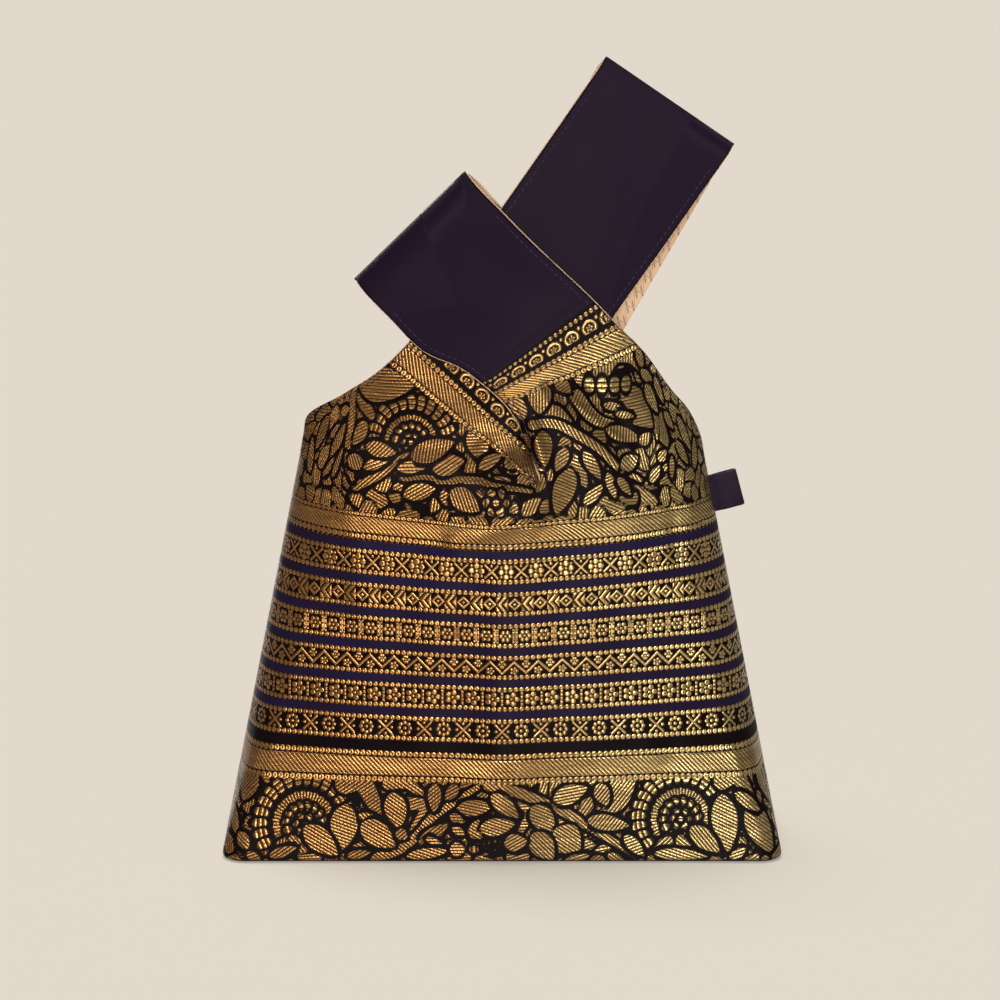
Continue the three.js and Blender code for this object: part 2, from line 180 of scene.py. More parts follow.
class Curve:
    """A uniform Catmull-Rom curve through points, by the number of the point."""

    def __init__(self, points):
        p = np.array(points, float)
        self.points = np.vstack([2 * p[0] - p[1], p, 2 * p[-1] - p[-2]])
        self.count = len(p)

    def at(self, t):
        t = np.asarray(t, float)
        i = np.clip(np.floor(t).astype(int), 0, self.count - 2)
        f = (t - i)[:, None]
        a, b, c, d = (self.points[i + k] for k in range(4))
        out, into = (c - a) / 2, (d - b) / 2
        return (b + out * f + (3 * (c - b) - 2 * out - into) * f ** 2
                + (2 * (b - c) + out + into) * f ** 3)


def handle_edges(handle, is_back):
    side = handle["side"]
    slip = handle["back_slip"] if is_back else 0
    lean = math.radians(handle["lean"])
    up = np.array([math.sin(lean), 0, math.cos(lean)])
    inwards = np.array([-side * math.cos(lean), 0, side * math.sin(lean)])
    tip = np.array([handle["tip"][0], -handle["half_loop"], handle["tip"][1]])
    foot = tip - up * handle["straight"]
    outer_start = body_point(NECK_LEVEL, side)
    outer_foot = foot - inwards * HANDLE_WIDTH / 2
    inner_foot = foot + inwards * HANDLE_WIDTH / 2
    outer, inner = [outer_start], [NECK_POINT]
    ribs = handle["sweep"]
    for i, (at_outer, at_inner, depth) in enumerate(ribs):
        moved = inwards * slip * float(smooth(0, len(ribs), i + 1))
        for edge, start, end, at, y in (
            (outer, outer_start, outer_foot, at_outer, depth[0]),
            (inner, NECK_POINT, inner_foot, at_inner, depth[1]),
        ):
            x = lerp(start[0], end[0], at[0])
            z = lerp(start[2], end[2], at[1])
            edge.append(np.array([x, -y, z]) + moved)
    for share in (0, 0.5, 1):
        moved = up * handle["straight"] * share + inwards * slip * (1 - share)
        outer.append(outer_foot + moved)
        inner.append(inner_foot + moved)
    return Curve(outer), Curve(inner), up


def handle_rows(handle, is_back, body_row, shares, ribs, turn_steps):
    """Rows of points from the neckline to the seam at the tip; body_row runs outer to inner."""
    outer, inner, up = handle_edges(handle, is_back)
    sweep = len(handle["sweep"])
    start, end = outer.at(ribs)[:, None], inner.at(ribs)[:, None]
    share = shares[None, :, None]
    flat = lerp(start, end, share)
    round_part = body_row - lerp(body_row[0], body_row[-1], shares[:, None])
    fade = (1 - np.minimum(ribs / sweep, 1)) ** STRAIGHTENING
    rows = flat + round_part[None] * fade[:, None, None]
    tip_row = rows[-1]
    turned = []
    for angle in np.linspace(0, math.pi / 2, turn_steps + 1)[1:]:
        moved = tip_row + up * handle["half_loop"] * math.sin(angle)
        moved[:, 1] = tip_row[:, 1] * math.cos(angle)
        turned.append(moved)
    return np.concatenate([rows, np.array(turned)])


# Folds: each a ridge along a line seen from the front, as (from, to, spread, rise). These
# are in the CAD solids too. They are measured from the lowest point of the neckline.
FOLDS = [
    ((-4, -4), (-44, -26), 7, 3.2),
    ((-14, 14), (-62, 10), 10, -4.5),
    ((30, 45), (56, 18), 10, 4),
    ((8, 38), (44, 4), 6, -3),
    ((60, 34), (64, -24), 6, 2.4),
    ((-18, -50), (-26, -150), 16, 2.6),
    ((38, -60), (52, -150), 18, -2),
]
FOLD_END = 0.6
FOLD_DEPTHS = (8, 20)

# Finer creases, written the same way but at their own x and height
CREASES = [
    ((14, 206), (21.5, 179), 3.4, 4.0),
    ((21.5, 179), (13, 166), 3.4, 4.0),
    ((13, 166), (-8, 161), 3.6, 2.2),
    ((11, 196), (13, 178), 3.2, -4.0),
    ((-8, 190), (9, 174), 6, -4.0),
    ((-30, 166), (4, 160), 5, 1.2),
    ((22, 222), (62, 190), 3.2, -2.4),
    ((30, 232), (60, 206), 5, 1.6),
    ((66, 214), (80, 186), 3.5, 1.4),
    ((86, 200), (90, 158), 2.6, 1.1),
    ((92, 192), (95, 150), 2.4, -0.9),
    ((78, 188), (82, 140), 3.5, -1.0),
    ((-84, 204), (-78, 176), 4, -1.4),
    ((-70, 176), (-66, 120), 6, 0.9),
    ((-2, 160), (-1, 60), 7, 0.9),
    ((-40, 150), (-52, 60), 10, -0.9),
    ((30, 156), (26, 70), 9, -0.7),
    ((62, 150), (70, 50), 9, 0.9),
    ((-96, 120), (-112, 44), 7, 1.0),
    ((98, 110), (110, 44), 7, 1.0),
    ((-60, 44), (-20, 40), 6, -0.6),
    ((20, 40), (80, 46), 7, -0.6),
]
# Creases fade out by depth towards the seams, and by height towards the floor.
CREASE_DEPTHS = (3, 22)
CREASE_HEIGHTS = (4, 30)
BODY_WAVES = (0.5, (13, 31, 17, 47))

# The foot of the opening between the handles is drawn to the left, seen from the front.
DRAWN = {"place": (21.0, 189.0), "reach": (20.0, 24.0), "shift": -7.5}


def drawn_neck(x, z):
    dx = (x - DRAWN["place"][0]) / DRAWN["reach"][0]
    dz = (z - DRAWN["place"][1]) / DRAWN["reach"][1]
    return x + DRAWN["shift"] * np.exp(-dx * dx - dz * dz)


def ridges(x, z, folds):
    rise = np.zeros_like(x)
    for (ax, az), (bx, bz), spread, height in folds:
        dx, dz = bx - ax, bz - az
        along = np.clip(((x - ax) * dx + (z - az) * dz) / (dx * dx + dz * dz), 0, 1)
        away = np.hypot(x - ax - along * dx, z - az - along * dz)
        rise += height * np.exp(-(away / spread) ** 2)
    return rise


def folded(p):
    """The points p with the folds, the drawn neck and the creases in them."""
    x, y, z = p.T
    across = np.abs(x) / half_width(np.maximum(z, 0))
    inward = 1 - smooth(FOLD_END, 1, across)
    from_neck = ridges(x - NECK_POINT[0], z - NECK_POINT[2], FOLDS)
    rise = inward * smooth(*FOLD_DEPTHS, -y) * from_neck
    x = drawn_neck(x, z)
    fine = ridges(x, z, CREASES) + waves(x, z, *BODY_WAVES)
    rise = rise + fine * smooth(*CREASE_DEPTHS, -y) * smooth(*CREASE_HEIGHTS, z)
    return np.stack([x, np.minimum(y - rise, 0), z], 1)


# The mesh of a panel

def spaced(start, stop, spacing):
    count = max(int(round(abs(stop - start) / spacing)), 1)
    return np.linspace(start, stop, count + 1)


def arc_lengths(rows):
    """Distance along each row of points."""
    steps = np.linalg.norm(np.diff(rows, axis=1), axis=2)
    return np.concatenate([np.zeros((len(rows), 1)), np.cumsum(steps, 1)], 1)


def gathered(index, values, count):
    """Sums of the rows of values, by the number that index gives each row."""
    return np.stack([np.bincount(index, values[:, k], count) for k in range(3)], 1)


# The ornament goes on over the foot of each handle: a rope row between two rows of dots,
# then small flowers, then plain satin. In the photographed view the rope row runs along
# the line from outer to inner, and the rows lie wider apart towards one end.
HANDLE_ROPE = 206.0
SATIN_ABOVE = 22.0
LOWEST_ON_HANDLE = 178.0
ROPE_LINES = {
    -1: {"outer": (-48.0, 236.0), "inner": (19.4, 181.0), "spread": (1.0, 0.62)},
    1: {"outer": (61.5, 246.0), "inner": (-1.0, 218.0), "spread": (1.1, 0.45)},
}
# The rib of each handle at which the ornament ends
ORNAMENT_RIBS = {-1: 5.4, 1: 6.2}
# Above the ornament the satin runs straight again after this much cloth.
SATIN_FADE = 10.0
# On the body the ornament of the neck starts this far above the upper rope, and the left
# handle's rope row fades out over this stretch to the right.
NECK_ORNAMENT_START = 3.0
LEFT_ROPE_END = (12, 22)

RIB_TRIES = 600
PICKED_COLUMNS = 9
FLOOR_SPACING = 4.0
EDGE_STEPS = 6
TURN_STEPS = 6

# Waves in the plain satin of the handles; the finer ones run along the handle.
HANDLE_WAVES = (0.3, (11, 19, 14, 37))
FINE_WAVES = (0.12, 5, 31)
RIPPLE_FADE = 20.0
RIPPLE_MARGIN = 0.3

# The roll of the edge moves out only from here on above the neckline, and off the seam.
ROLL_ABOVE_NECK = 2.0
ROLL_OFF_SEAM = 1.5


def handle_cloth(x, z, side):
    """Cloth coordinates over the foot of a handle, from a point seen from the front."""
    line = ROPE_LINES[side]
    (ox, oz), (ix, iz) = line["outer"], line["inner"]
    length = math.hypot(ox - ix, oz - iz)
    dx, dz = (ox - ix) / length * side, (oz - iz) / length * side
    along = (x - ix) * dx + (z - iz) * dz
    above = -(x - ix) * dz + (z - iz) * dx
    part = np.clip(along * side / length, 0, 1)
    spread = lerp(line["spread"][1], line["spread"][0], part)
    return along, HANDLE_ROPE + above / spread


def rib_numbers(handle, is_back, body_row, shares, fine, coarse, ornament_end):
    """Numbers of the ribs for rows of the mesh, closer together in the ornament. They end
    where the cloth starts to turn over at the tip."""
    last = len(handle["sweep"]) + 1 + 2 * (1 - handle["half_loop"] / handle["straight"])
    tries = np.linspace(0, last, RIB_TRIES)
    picks = np.linspace(0, len(shares) - 1, PICKED_COLUMNS).astype(int)
    rows = handle_rows(handle, is_back, body_row, shares, tries, 1)[: len(tries)][:, picks]
    steps = np.linalg.norm(np.diff(rows, axis=0), axis=2).max(1)
    wanted = np.where(tries[1:] < ornament_end, fine, coarse)
    count = np.concatenate([[0], np.cumsum(steps / wanted)])
    total = int(math.ceil(count[-1]))
    return np.interp(np.linspace(0, count[-1], total + 1), count, tries)


class Panel:
    """One panel of cloth as a grid of points, faces, cloth coordinates and an outline."""

    def __init__(self, is_back, fine, coarse, inset=0.0, lift=0.0):
        left = spaced(-1, NECK_FRACTION, 2 * fine / PANEL_GIRTH)
        right = spaced(NECK_FRACTION, 1, 2 * fine / PANEL_GIRTH)
        self.shares = np.concatenate([left, right[1:]])
        self.neck = len(left) - 1
        self.fine, self.coarse = fine, coarse
        self.points, self.cloth, self.faces = [], [], []
        self.add_body(inset, lift)
        self.add_handle(LONG_HANDLE, is_back)
        self.add_handle(SHORT_HANDLE, is_back)
        self.points = folded(np.concatenate(self.points))
        self.cloth = np.concatenate(self.cloth)
        self.faces = np.concatenate(self.faces)
        self.outline = self.trace_outline()
        self.rows_from_neck = self.cloth[:, 1] - NECK_LEVEL
        self.on_floor = np.zeros(len(self.points), bool)
        self.on_floor[: self.floor_rows * len(self.shares)] = True
        self.smooth_neckline()
        self.lay_ornament()
        self.ripple_handles()
        if inset:
            self.points[~self.on_floor] -= inset * self.normals()[~self.on_floor]
        self.points[:, 1] = np.minimum(self.points[:, 1], -SEAM_GAP / 2)

    def quads(self, grid):
        a, b = grid[:-1, :-1], grid[:-1, 1:]
        c, d = grid[1:, 1:], grid[1:, :-1]
        self.faces.append(np.stack([a, b, c, d], -1).reshape(-1, 4))

    def add_body(self, inset, lift):
        share = self.shares[None]
        floor_t = spaced(0, 1, FLOOR_SPACING / BASE_HALF_DEPTH)[:-1, None]
        edge_x, edge_y = section(lift, share, inset + BASE_EDGE)
        seam_x = share * (half_width(lift) - inset - BASE_EDGE)
        z = np.full_like(seam_x * floor_t, lift)
        floor = np.stack([lerp(seam_x, edge_x, floor_t), edge_y * floor_t, z], -1)
        angle = np.linspace(math.pi / 2, 0, EDGE_STEPS)[:, None]
        z = lift + BASE_EDGE * (1 - np.sin(angle))
        x, y = section(z, share, inset + BASE_EDGE * (1 - np.cos(angle)))
        corner = np.stack([x, y, np.broadcast_to(z, x.shape)], -1)
        levels = np.concatenate([
            spaced(lift + BASE_EDGE, FLORAL_BAND, self.fine)[1:],
            spaced(FLORAL_BAND, UPPER_FLORAL, self.coarse)[1:],
            spaced(UPPER_FLORAL, NECK_LEVEL, self.fine)[1:],
        ])
        wall = body_point(levels[:, None], share)
        rows = np.concatenate([floor, corner, wall])
        self.floor_rows = len(floor) + len(corner)
        depth = BASE_HALF_DEPTH - BASE_EDGE
        turn = BASE_EDGE * math.pi / 2
        v = np.concatenate([
            lift + BASE_EDGE - turn - depth * (1 - floor_t[:, 0]),
            lift + BASE_EDGE - angle[:, 0] * BASE_EDGE,
            levels,
        ])
        along = arc_lengths(rows[len(floor):])
        middle = np.array([np.interp(0, self.shares, row) for row in along])
        u = along - middle[:, None]
        u = np.concatenate([np.repeat(u[:1], len(floor), 0), u])
        self.body = np.arange(rows.shape[0] * rows.shape[1]).reshape(rows.shape[:2])
        self.points.append(rows.reshape(-1, 3))
        self.cloth.append(np.stack([u, np.broadcast_to(v[:, None], u.shape)], -1).reshape(-1, 2))
        self.quads(self.body)
        self.neck_row, self.neck_u = rows[-1], u[-1]

    def add_handle(self, handle, is_back):
        is_long = handle["side"] < 0
        part = slice(0, self.neck + 1) if is_long else slice(self.neck, None)
        order = 1 if is_long else -1
        row, row_u = self.neck_row[part][::order], self.neck_u[part][::order]
        shares = self.shares[part][::order]
        shares = (shares - shares[0]) / (shares[-1] - shares[0])
        ends = ORNAMENT_RIBS[handle["side"]]
        numbers = rib_numbers(handle, is_back, row, shares, self.fine, self.coarse, ends)
        rows = handle_rows(handle, is_back, row, shares, numbers, TURN_STEPS)
        along = arc_lengths(rows) * order
        middle = np.interp(0.5, shares, row_u)
        half = np.array([np.interp(0.5, shares, a) for a in along])
        u = middle + along - half[:, None]
        centre = rows[:, len(shares) // 2]
        v = NECK_LEVEL + arc_lengths(centre[None])[0]
        first = sum(len(p) for p in self.points)
        grid = first + np.arange((len(rows) - 1) * len(shares)).reshape(-1, len(shares))
        grid = grid[:, ::order]
        grid = np.concatenate([self.body[-1, part][None], grid])
        self.points.append(rows[1:].reshape(-1, 3))
        v = np.broadcast_to(v[1:, None], u[1:].shape)
        self.cloth.append(np.stack([u[1:], v], -1).reshape(-1, 2))
        self.quads(grid)
        if is_long:
            self.long = grid
        else:
            self.short = grid

    def trace_outline(self):
        body, long, short = self.body, self.long, self.short
        return np.concatenate([
            body[0], body[1:, -1], short[1:, -1], short[-1, -2::-1], short[-2::-1, 0],
            long[1:, -1], long[-1, -2::-1], long[-2::-1, 0], body[-2:0:-1, 0],
        ])

    def smooth_neckline(self, rounds=120, reach=14.0, strength=0.5, least=0.004):
        """Softens the crease where the handles leave the body."""
        edges = np.concatenate([self.faces[:, [i, (i + 1) % 4]] for i in range(4)])
        edges = np.unique(np.sort(edges, 1), axis=0)
        inner = np.ones(len(self.points), bool)
        inner[self.outline] = False
        size = len(self.points)
        count = np.bincount(edges.ravel(), minlength=size)
        weight = strength * np.exp(-(self.rows_from_neck / reach) ** 2) * inner
        near = np.where(weight > least)[0]
        edges = edges[np.isin(edges, near).any(1)]
        for _ in range(rounds):
            total = gathered(edges[:, 0], self.points[edges[:, 1]], size)
            total += gathered(edges[:, 1], self.points[edges[:, 0]], size)
            mean = total[near] / count[near, None]
            self.points[near] += weight[near, None] * (mean - self.points[near])

    def lay_ornament(self):
        """Cloth coordinates of the foot of each handle and of the body just below it."""
        x, z = self.points[:, 0], self.points[:, 2]
        for grid, side in ((self.long, -1), (self.short, 1)):
            at = grid[1:].ravel()
            along, level = handle_cloth(x[at], z[at], side)
            plain = smooth(SATIN_ABOVE, SATIN_ABOVE + SATIN_FADE, level - HANDLE_ROPE)
            level = np.maximum(level, LOWEST_ON_HANDLE)
            self.cloth[at, 0] = lerp(along, self.cloth[at, 0], plain)
            self.cloth[at, 1] = lerp(level, np.maximum(self.cloth[at, 1], level), plain)
            part = self.body[:, : self.neck] if side < 0 else self.body[:, self.neck:]
            at = part.ravel()
            along, level = handle_cloth(x[at], z[at], side)
            starts = UPPER_FLORAL + NECK_ORNAMENT_START
            blend = smooth(starts, NECK_LEVEL, self.cloth[at, 1])
            level = np.maximum(level, LOWEST_ON_HANDLE)
            if side < 0:
                level = lerp(level, LOWEST_ON_HANDLE, smooth(*LEFT_ROPE_END, x[at]))
            self.cloth[at, 0] = lerp(self.cloth[at, 0], along, blend)
            self.cloth[at, 1] = lerp(self.cloth[at, 1], level, blend)

    def ripple_handles(self):
        """Shallow waves in the plain satin of the handles, none of them at the edges."""
        u, v = self.cloth.T
        satin = HANDLE_ROPE + SATIN_ABOVE
        plain = smooth(satin, satin + RIPPLE_FADE, v)
        height, along, across = FINE_WAVES
        wave = waves(v, u, *HANDLE_WAVES) + height * np.sin(v / along + u / across)
        inner = np.zeros(len(self.points))
        for grid in (self.long, self.short):
            share = np.linspace(0, 1, grid.shape[1])
            fade = smooth(0, RIPPLE_MARGIN, share) * smooth(0, RIPPLE_MARGIN, 1 - share)
            inner[grid[1:-TURN_STEPS]] = fade
        self.points += (plain * wave * inner)[:, None] * self.normals()

    def normals(self):
        p = self.points[self.faces]
        n = np.cross(p[:, 2] - p[:, 0], p[:, 3] - p[:, 1])
        size = len(self.points)
        total = sum(gathered(self.faces[:, corner], n, size) for corner in range(4))
        return total / np.maximum(np.linalg.norm(total, axis=1), 1e-9)[:, None]

    def roll_edge(self, radius, reach, steps=5):
        """Turns the edge of the cloth under, all the way round the panel, or over where the
        radius is negative. Along the handles the edge first moves out by reach."""
        ring = self.outline
        normal = self.normals()[ring]
        p = self.points[ring]
        run = np.roll(p, -1, 0) - np.roll(p, 1, 0)
        out = np.cross(run, normal)
        out /= np.maximum(np.linalg.norm(out, axis=1), 1e-9)[:, None]
        free = (self.rows_from_neck[ring] > ROLL_ABOVE_NECK) & (p[:, 1] < -ROLL_OFF_SEAM)
        p = p + out * reach * free[:, None]
        base = len(self.points)
        self.points[ring] = p - out * abs(radius)
        rings = [ring]
        for i in range(1, steps + 1):
            a = math.pi * i / steps
            rings.append(base + (i - 1) * len(ring) + np.arange(len(ring)))
            self.points = np.concatenate([
                self.points,
                p - out * abs(radius) * (1 - math.sin(a)) - normal * radius * (1 - math.cos(a)),
            ])
            self.cloth = np.concatenate([self.cloth, self.cloth[ring]])
        for a, b in zip(rings, rings[1:]):
            self.faces = np.concatenate([
                self.faces, np.stack([np.roll(a, -1), a, b, np.roll(b, -1)], 1),
            ])


# Woven motifs. Each vertex of a panel gets three numbers: how far inside a shape it lies,
# and its place across and along the shape's hatching. A new shape goes over older ones and
# leaves a dark outline round itself.

OUTLINE = 1.5
HATCH = 1.45
# Further out than any place is from a shape
FAR = 9.0


def around(x, z, radius, angle):
    """The point on a circle at an angle in degrees."""
    a = math.radians(angle)
    return x + radius * math.cos(a), z + radius * math.sin(a)


class Ornament:
    def __init__(self, x, z):
        self.x, self.z = x, z
        self.inside = np.full(len(x), -FAR)
        self.across = np.zeros(len(x))
        self.along = np.zeros(len(x))

    def put(self, inside, across, along, gap=OUTLINE):
        over = inside > -gap / 2
        self.inside = np.maximum(np.minimum(self.inside, -inside - gap), inside)
        self.across[over] = across[over]
        self.along[over] = along[over]

    def hatch(self, angle, pitch=HATCH):
        a = math.radians(angle)
        across = -self.x * math.sin(a) + self.z * math.cos(a)
        return across / pitch, (self.x * math.cos(a) + self.z * math.sin(a)) / pitch

    def leaf(self, x0, z0, x1, z1, width, angle):
        """A leaf from its foot to its tip, broadest nearer the foot."""
        length = math.hypot(x1 - x0, z1 - z0)
        dx, dz = (x1 - x0) / length, (z1 - z0) / length
        t = ((self.x - x0) * dx + (self.z - z0) * dz) / length
        off = np.abs(-(self.x - x0) * dz + (self.z - z0) * dx)
        inner = np.clip(t, 0, 1)
        half = width / 2 * np.sin(math.pi * inner ** 0.78) ** 0.8
        past = np.abs(t - inner) * length
        slope = np.clip(1 - 0.45 * np.abs(2 * inner - 1), 0.5, 1)
        self.put(np.where(past > 0, -np.hypot(past, off), (half - off) * slope), *self.hatch(angle))

    def stroke(self, points, width, angle, taper=0.5):
        """A stem or an arched leaf along a line of points, thinner towards its end."""
        p = np.array(points, float).reshape(-1, 2)
        steps = np.linalg.norm(np.diff(p, axis=0), axis=1)
        at = np.concatenate([[0], np.cumsum(steps)])
        curve = Curve(np.column_stack([p, at]))
        fine = curve.at(np.linspace(0, len(p) - 1, 8 * len(p)))
        best = np.full(len(self.x), -1e3)
        for a, b in zip(fine, fine[1:]):
            d = b - a
            ahead = (self.x - a[0]) * d[0] + (self.z - a[1]) * d[1]
            t = np.clip(ahead / (d[0] ** 2 + d[1] ** 2), 0, 1)
            share = (a[2] + t * d[2]) / at[-1]
            half = width / 2 * (1 - taper * share ** 2)
            away = np.hypot(self.x - a[0] - t * d[0], self.z - a[1] - t * d[1])
            best = np.maximum(best, half - away)
        self.put(best, *self.hatch(angle))

    def petal(self, x, z, angle, length, width, pitch=2.3):
        a = math.radians(angle)
        along = (self.x - x) * math.cos(a) + (self.z - z) * math.sin(a)
        off = -(self.x - x) * math.sin(a) + (self.z - z) * math.cos(a)
        reach = np.hypot(along / length, off / width) * 2
        self.put((1 - reach) * width / 2, along / pitch + 0.5, off / pitch, gap=1.2)

    def medallion(self, x, z, radius, first, last, count, petal=(8.0, 4.3)):
        """A flower with an inner ring of petals, an arc and an outer ring round it, which
        go from the first to the last angle."""
        middle, inner = 0.63 * radius, 0.40 * radius
        r = np.hypot(self.x - x, self.z - z)
        turn = np.degrees(np.arctan2(self.z - z, self.x - x))
        turn = np.where(turn < first - 25, turn + 360, turn)
        ends = np.minimum(turn - first, last - turn) * math.pi / 180 * r
        arc = 0.1 * radius - np.abs(r - middle)
        self.put(np.minimum(arc, ends), turn * 0.63 * radius * math.pi / 180 / HATCH, r / HATCH)
        for angle in np.linspace(first, last, count):
            self.petal(*around(x, z, radius, angle), angle, *petal)
        for angle in np.linspace(first + 8, last - 8, count // 2 + 1):
            self.petal(*around(x, z, inner, angle), angle, 0.2 * radius, 0.17 * radius)
        self.flower(x, z, 0.26 * radius)

    def flower(self, x, z, radius, count=6):
        for angle in np.linspace(0, 360, count, endpoint=False):
            place = around(x, z, 0.62 * radius, angle)
            self.petal(*place, angle, 0.75 * radius, 0.62 * radius)
        self.put(0.25 * radius - np.hypot(self.x - x, self.z - z), *self.hatch(0))

    def ground(self, pitch, seed):
        """Small leaves at all angles that fill what the larger shapes leave free. Each
        place belongs to the leaf that it is nearest to."""
        dice = np.random.default_rng(seed)
        best = np.full(len(self.x), FAR)
        second = best.copy()
        low = np.floor([self.x.min() / pitch, self.z.min() / pitch]).astype(int)
        high = np.ceil([self.x.max() / pitch, self.z.max() / pitch]).astype(int)
        for i in range(low[0], high[0] + 1):
            for j in range(low[1], high[1] + 1):
                jx = dice.uniform(-0.3, 0.3)
                jz = dice.uniform(-0.3, 0.3)
                a = dice.uniform(0, math.pi)
                dx = self.x - (i + 0.5 * (j % 2) + jx) * pitch
                dz = self.z - (j + jz) * pitch
                along = dx * math.cos(a) + dz * math.sin(a)
                off = -dx * math.sin(a) + dz * math.cos(a)
                reach = np.hypot(along * 0.6, off * 1.4) / pitch
                closer = reach < best
                second = np.where(closer, best, np.minimum(second, reach))
                best = np.where(closer, reach, best)
                self.across = np.where(closer, off / HATCH + a, self.across)
                self.along = np.where(closer, along / HATCH, self.along)
        self.inside = np.minimum((second - best) * pitch * 0.55 - 0.6, (0.66 - best) * pitch)


# Leaves as foot, tip, width and angle of the hatching. The lower band is measured along
# the cloth, from its middle and from the base edge.
LOWER_LEAVES = [
    (-73.5, 27.5, -75, 6, 13, -20), (-51.5, 33.5, -48, 16, 10.5, -35),
    (-67.5, 23, -51.5, 15.5, 6, -45), (-66, 19, -50, 7.5, 12, -30),
    (-49.5, 15.5, -44.5, 11.5, 5.5, 40), (-31.5, 38, -32, 24, 6.5, 40),
    (-21, 37.5, -26.5, 30, 5.5, 30), (-21.5, 25.5, -4, 28.5, 8, -10),
    (-24.5, 23, -17.5, 19.5, 4.5, 0), (-39, 9, -25, 19, 6.5, 40), (-36, 12, -27, 8, 3.5, 0),
    (-45, 3, -24.5, 6, 5.5, -20), (-73, 3, -61.5, 5, 4.5, 30), (-109.5, 3, -96, 7.5, 5, 35),
    (-121, 42, -123, 27, 13, 45), (-132, 24, -124, 12, 6, -30), (-140, 32, -137, 12, 6, 0),
    (-124, 14, -119, 6, 6, -40), (-120, 5, -113, 0, 4.5, 20), (-16, 13.5, -1, 21.5, 9.5, -30),
    (-23.5, 17, -17, 13.5, 4, 0), (-24.5, 6.5, -17, 6.5, 7, 0), (24, 30, 40.5, 36, 9, 10),
    (45, 25, 63, 40, 14, 50), (45, 37.5, 49.5, 27, 7.5, 50), (40, 20.5, 60, 17.5, 7.5, 50),
    (-5, 34, 8, 22, 8, -35), (14.5, 28, 24.5, 14, 10.5, -25), (25, 16.5, 36.5, 5, 15, -35),
    (14.5, 14.5, 24, 1, 11.5, -45), (1, 9.5, 12, 10.5, 8.5, 30), (-10.5, 16.5, 6.5, 19.5, 9, -20),
    (29, 0, 42, 4, 4.5, 20), (41.5, 1, 49.5, 1, 5.5, 40), (49.5, 4.5, 59, -1.5, 4.5, -40),
    (57.5, 13, 67, 3, 6, 20), (71.5, 4.5, 97, 3, 6, -20), (116, 26, 128, 4, 12.5, -35),
    (110, 31.5, 122.5, 23, 5.5, -40), (107, 2, 115, 7, 5, 20), (124, 41, 134, 25, 8, 45),
    (131, 20, 141, 11, 5, 0), (127, 1, 138, 6, 4.5, 30), (-150, 12, -158, 34, 9, 40),
    (150, 8, 160, 32, 9, -40), (-166, 6, -168, 24, 7, 20), (168, 14, 166, 34, 7, -20),
    (103.5, 31, 106.5, 5, 12.5, -25), (88.5, 16.5, 102.5, 5, 9, -50), (-93, 17, -77, 3.5, 11, -30),
]
# Stems and arched leaves as the points of a line, the width and the hatch's angle
LOWER_STROKES = [
    ((-74, 37, -66, 38, -57.5, 23), 9.5, 35), ((-53.5, 37.5, -44, 37.5, -36, 31), 5.5, -35),
    ((-44.5, 28.5, -36, 26.5, -42, 15.5), 6, 20), ((7.5, 31, 13, 25, 8.5, 15), 5, 0),
    ((104, 37, 111, 39, 118, 29), 8, -40),
    ((-60, 2, -48, 6.5, -39.5, 13.5, -33, 21.5, -23.5, 28.5, -10, 38), 4.6, -40),
    ((-6.5, 38, 6.5, 35, 17.5, 30, 30, 24, 42, 16.5, 55, 8.5, 65.5, 1), 5, -40),
]
# The upper band and the foot of the handles are measured in the photographed view.
UPPER_LEAVES = [
    (-73, 222.5, -41, 221, 17, 0), (-65, 204.5, -73, 194.5, 7.5, 20),
    (-85.5, 207.5, -79.5, 210, 5, 30), (-92, 197, -84.5, 203, 4.5, 45),
    (-88, 188.5, -80.5, 204, 6, -60), (-92, 179.5, -80.5, 191, 4, 40),
    (-84, 179.5, -79.5, 193.5, 3.5, -50), (-77, 191.5, -69.5, 178, 4.5, -60),
    (-75, 189, -63.5, 185.5, 6.5, -60), (-65, 185, -51.5, 190, 5, 20),
    (-33, 185.5, -17.5, 188.5, 9, 30), (-49, 185, -33, 186.5, 5, 0),
    (-13.5, 203, -8.5, 187.5, 10.5, 0), (-11, 185, 0.5, 191, 5, 20), (1.5, 185.5, 8, 191.5, 6, 40),
    (-46, 173.5, -30.5, 177, 7.5, 30), (-28, 176, -24, 168.5, 5, 30), (-24, 176, -10.5, 167.5, 10, -70),
    (3, 171, 7.5, 166.5, 5, 30), (55, 221, 73, 203.5, 15, 5), (45.5, 219, 54, 218, 3.5, 60),
    (47, 214.5, 56.5, 213, 4, 60), (52.5, 210.5, 62, 209, 3.5, 60), (65, 239, 69.5, 228.5, 5, 40),
    (67.5, 228.5, 77.5, 222, 5, 40), (70.5, 222, 79, 209, 7, -60), (78.5, 225, 86, 212.5, 5, -50),
    (17.5, 224.5, 17.5, 210.5, 11, 90), (25, 226, 32, 219, 6.5, 40), (18.5, 203.5, 20, 188, 8.5, -10),
    (48.5, 202.5, 65.5, 198, 7.5, 88), (65, 196, 71, 201, 5.5, 80), (31, 194, 39.5, 177, 7.5, -20),
    (32, 186.5, 25, 165, 10.5, -25), (30, 195.5, 25, 185.5, 6, 30), (38, 194, 46, 181, 5.5, -20),
    (38, 169.5, 47.5, 179, 5.5, 30), (49, 184, 53, 171.5, 4.5, 20), (54, 181.5, 60, 173, 4, 20),
    (55.5, 185.5, 64, 190, 7, -45), (84, 190, 83.5, 178.5, 3.5, 0), (85, 209, 91, 201, 5, 40),
    (90, 196, 98, 185, 6, -30), (75, 188, 80.5, 193, 5, 40), (70, 178, 76, 186, 5, 40),
    (98, 206, 104, 190, 7, 20), (104, 182, 112, 196, 6, -20), (-98, 206, -104, 190, 7, 20),
    (-104, 180, -110, 196, 6, -20),
]
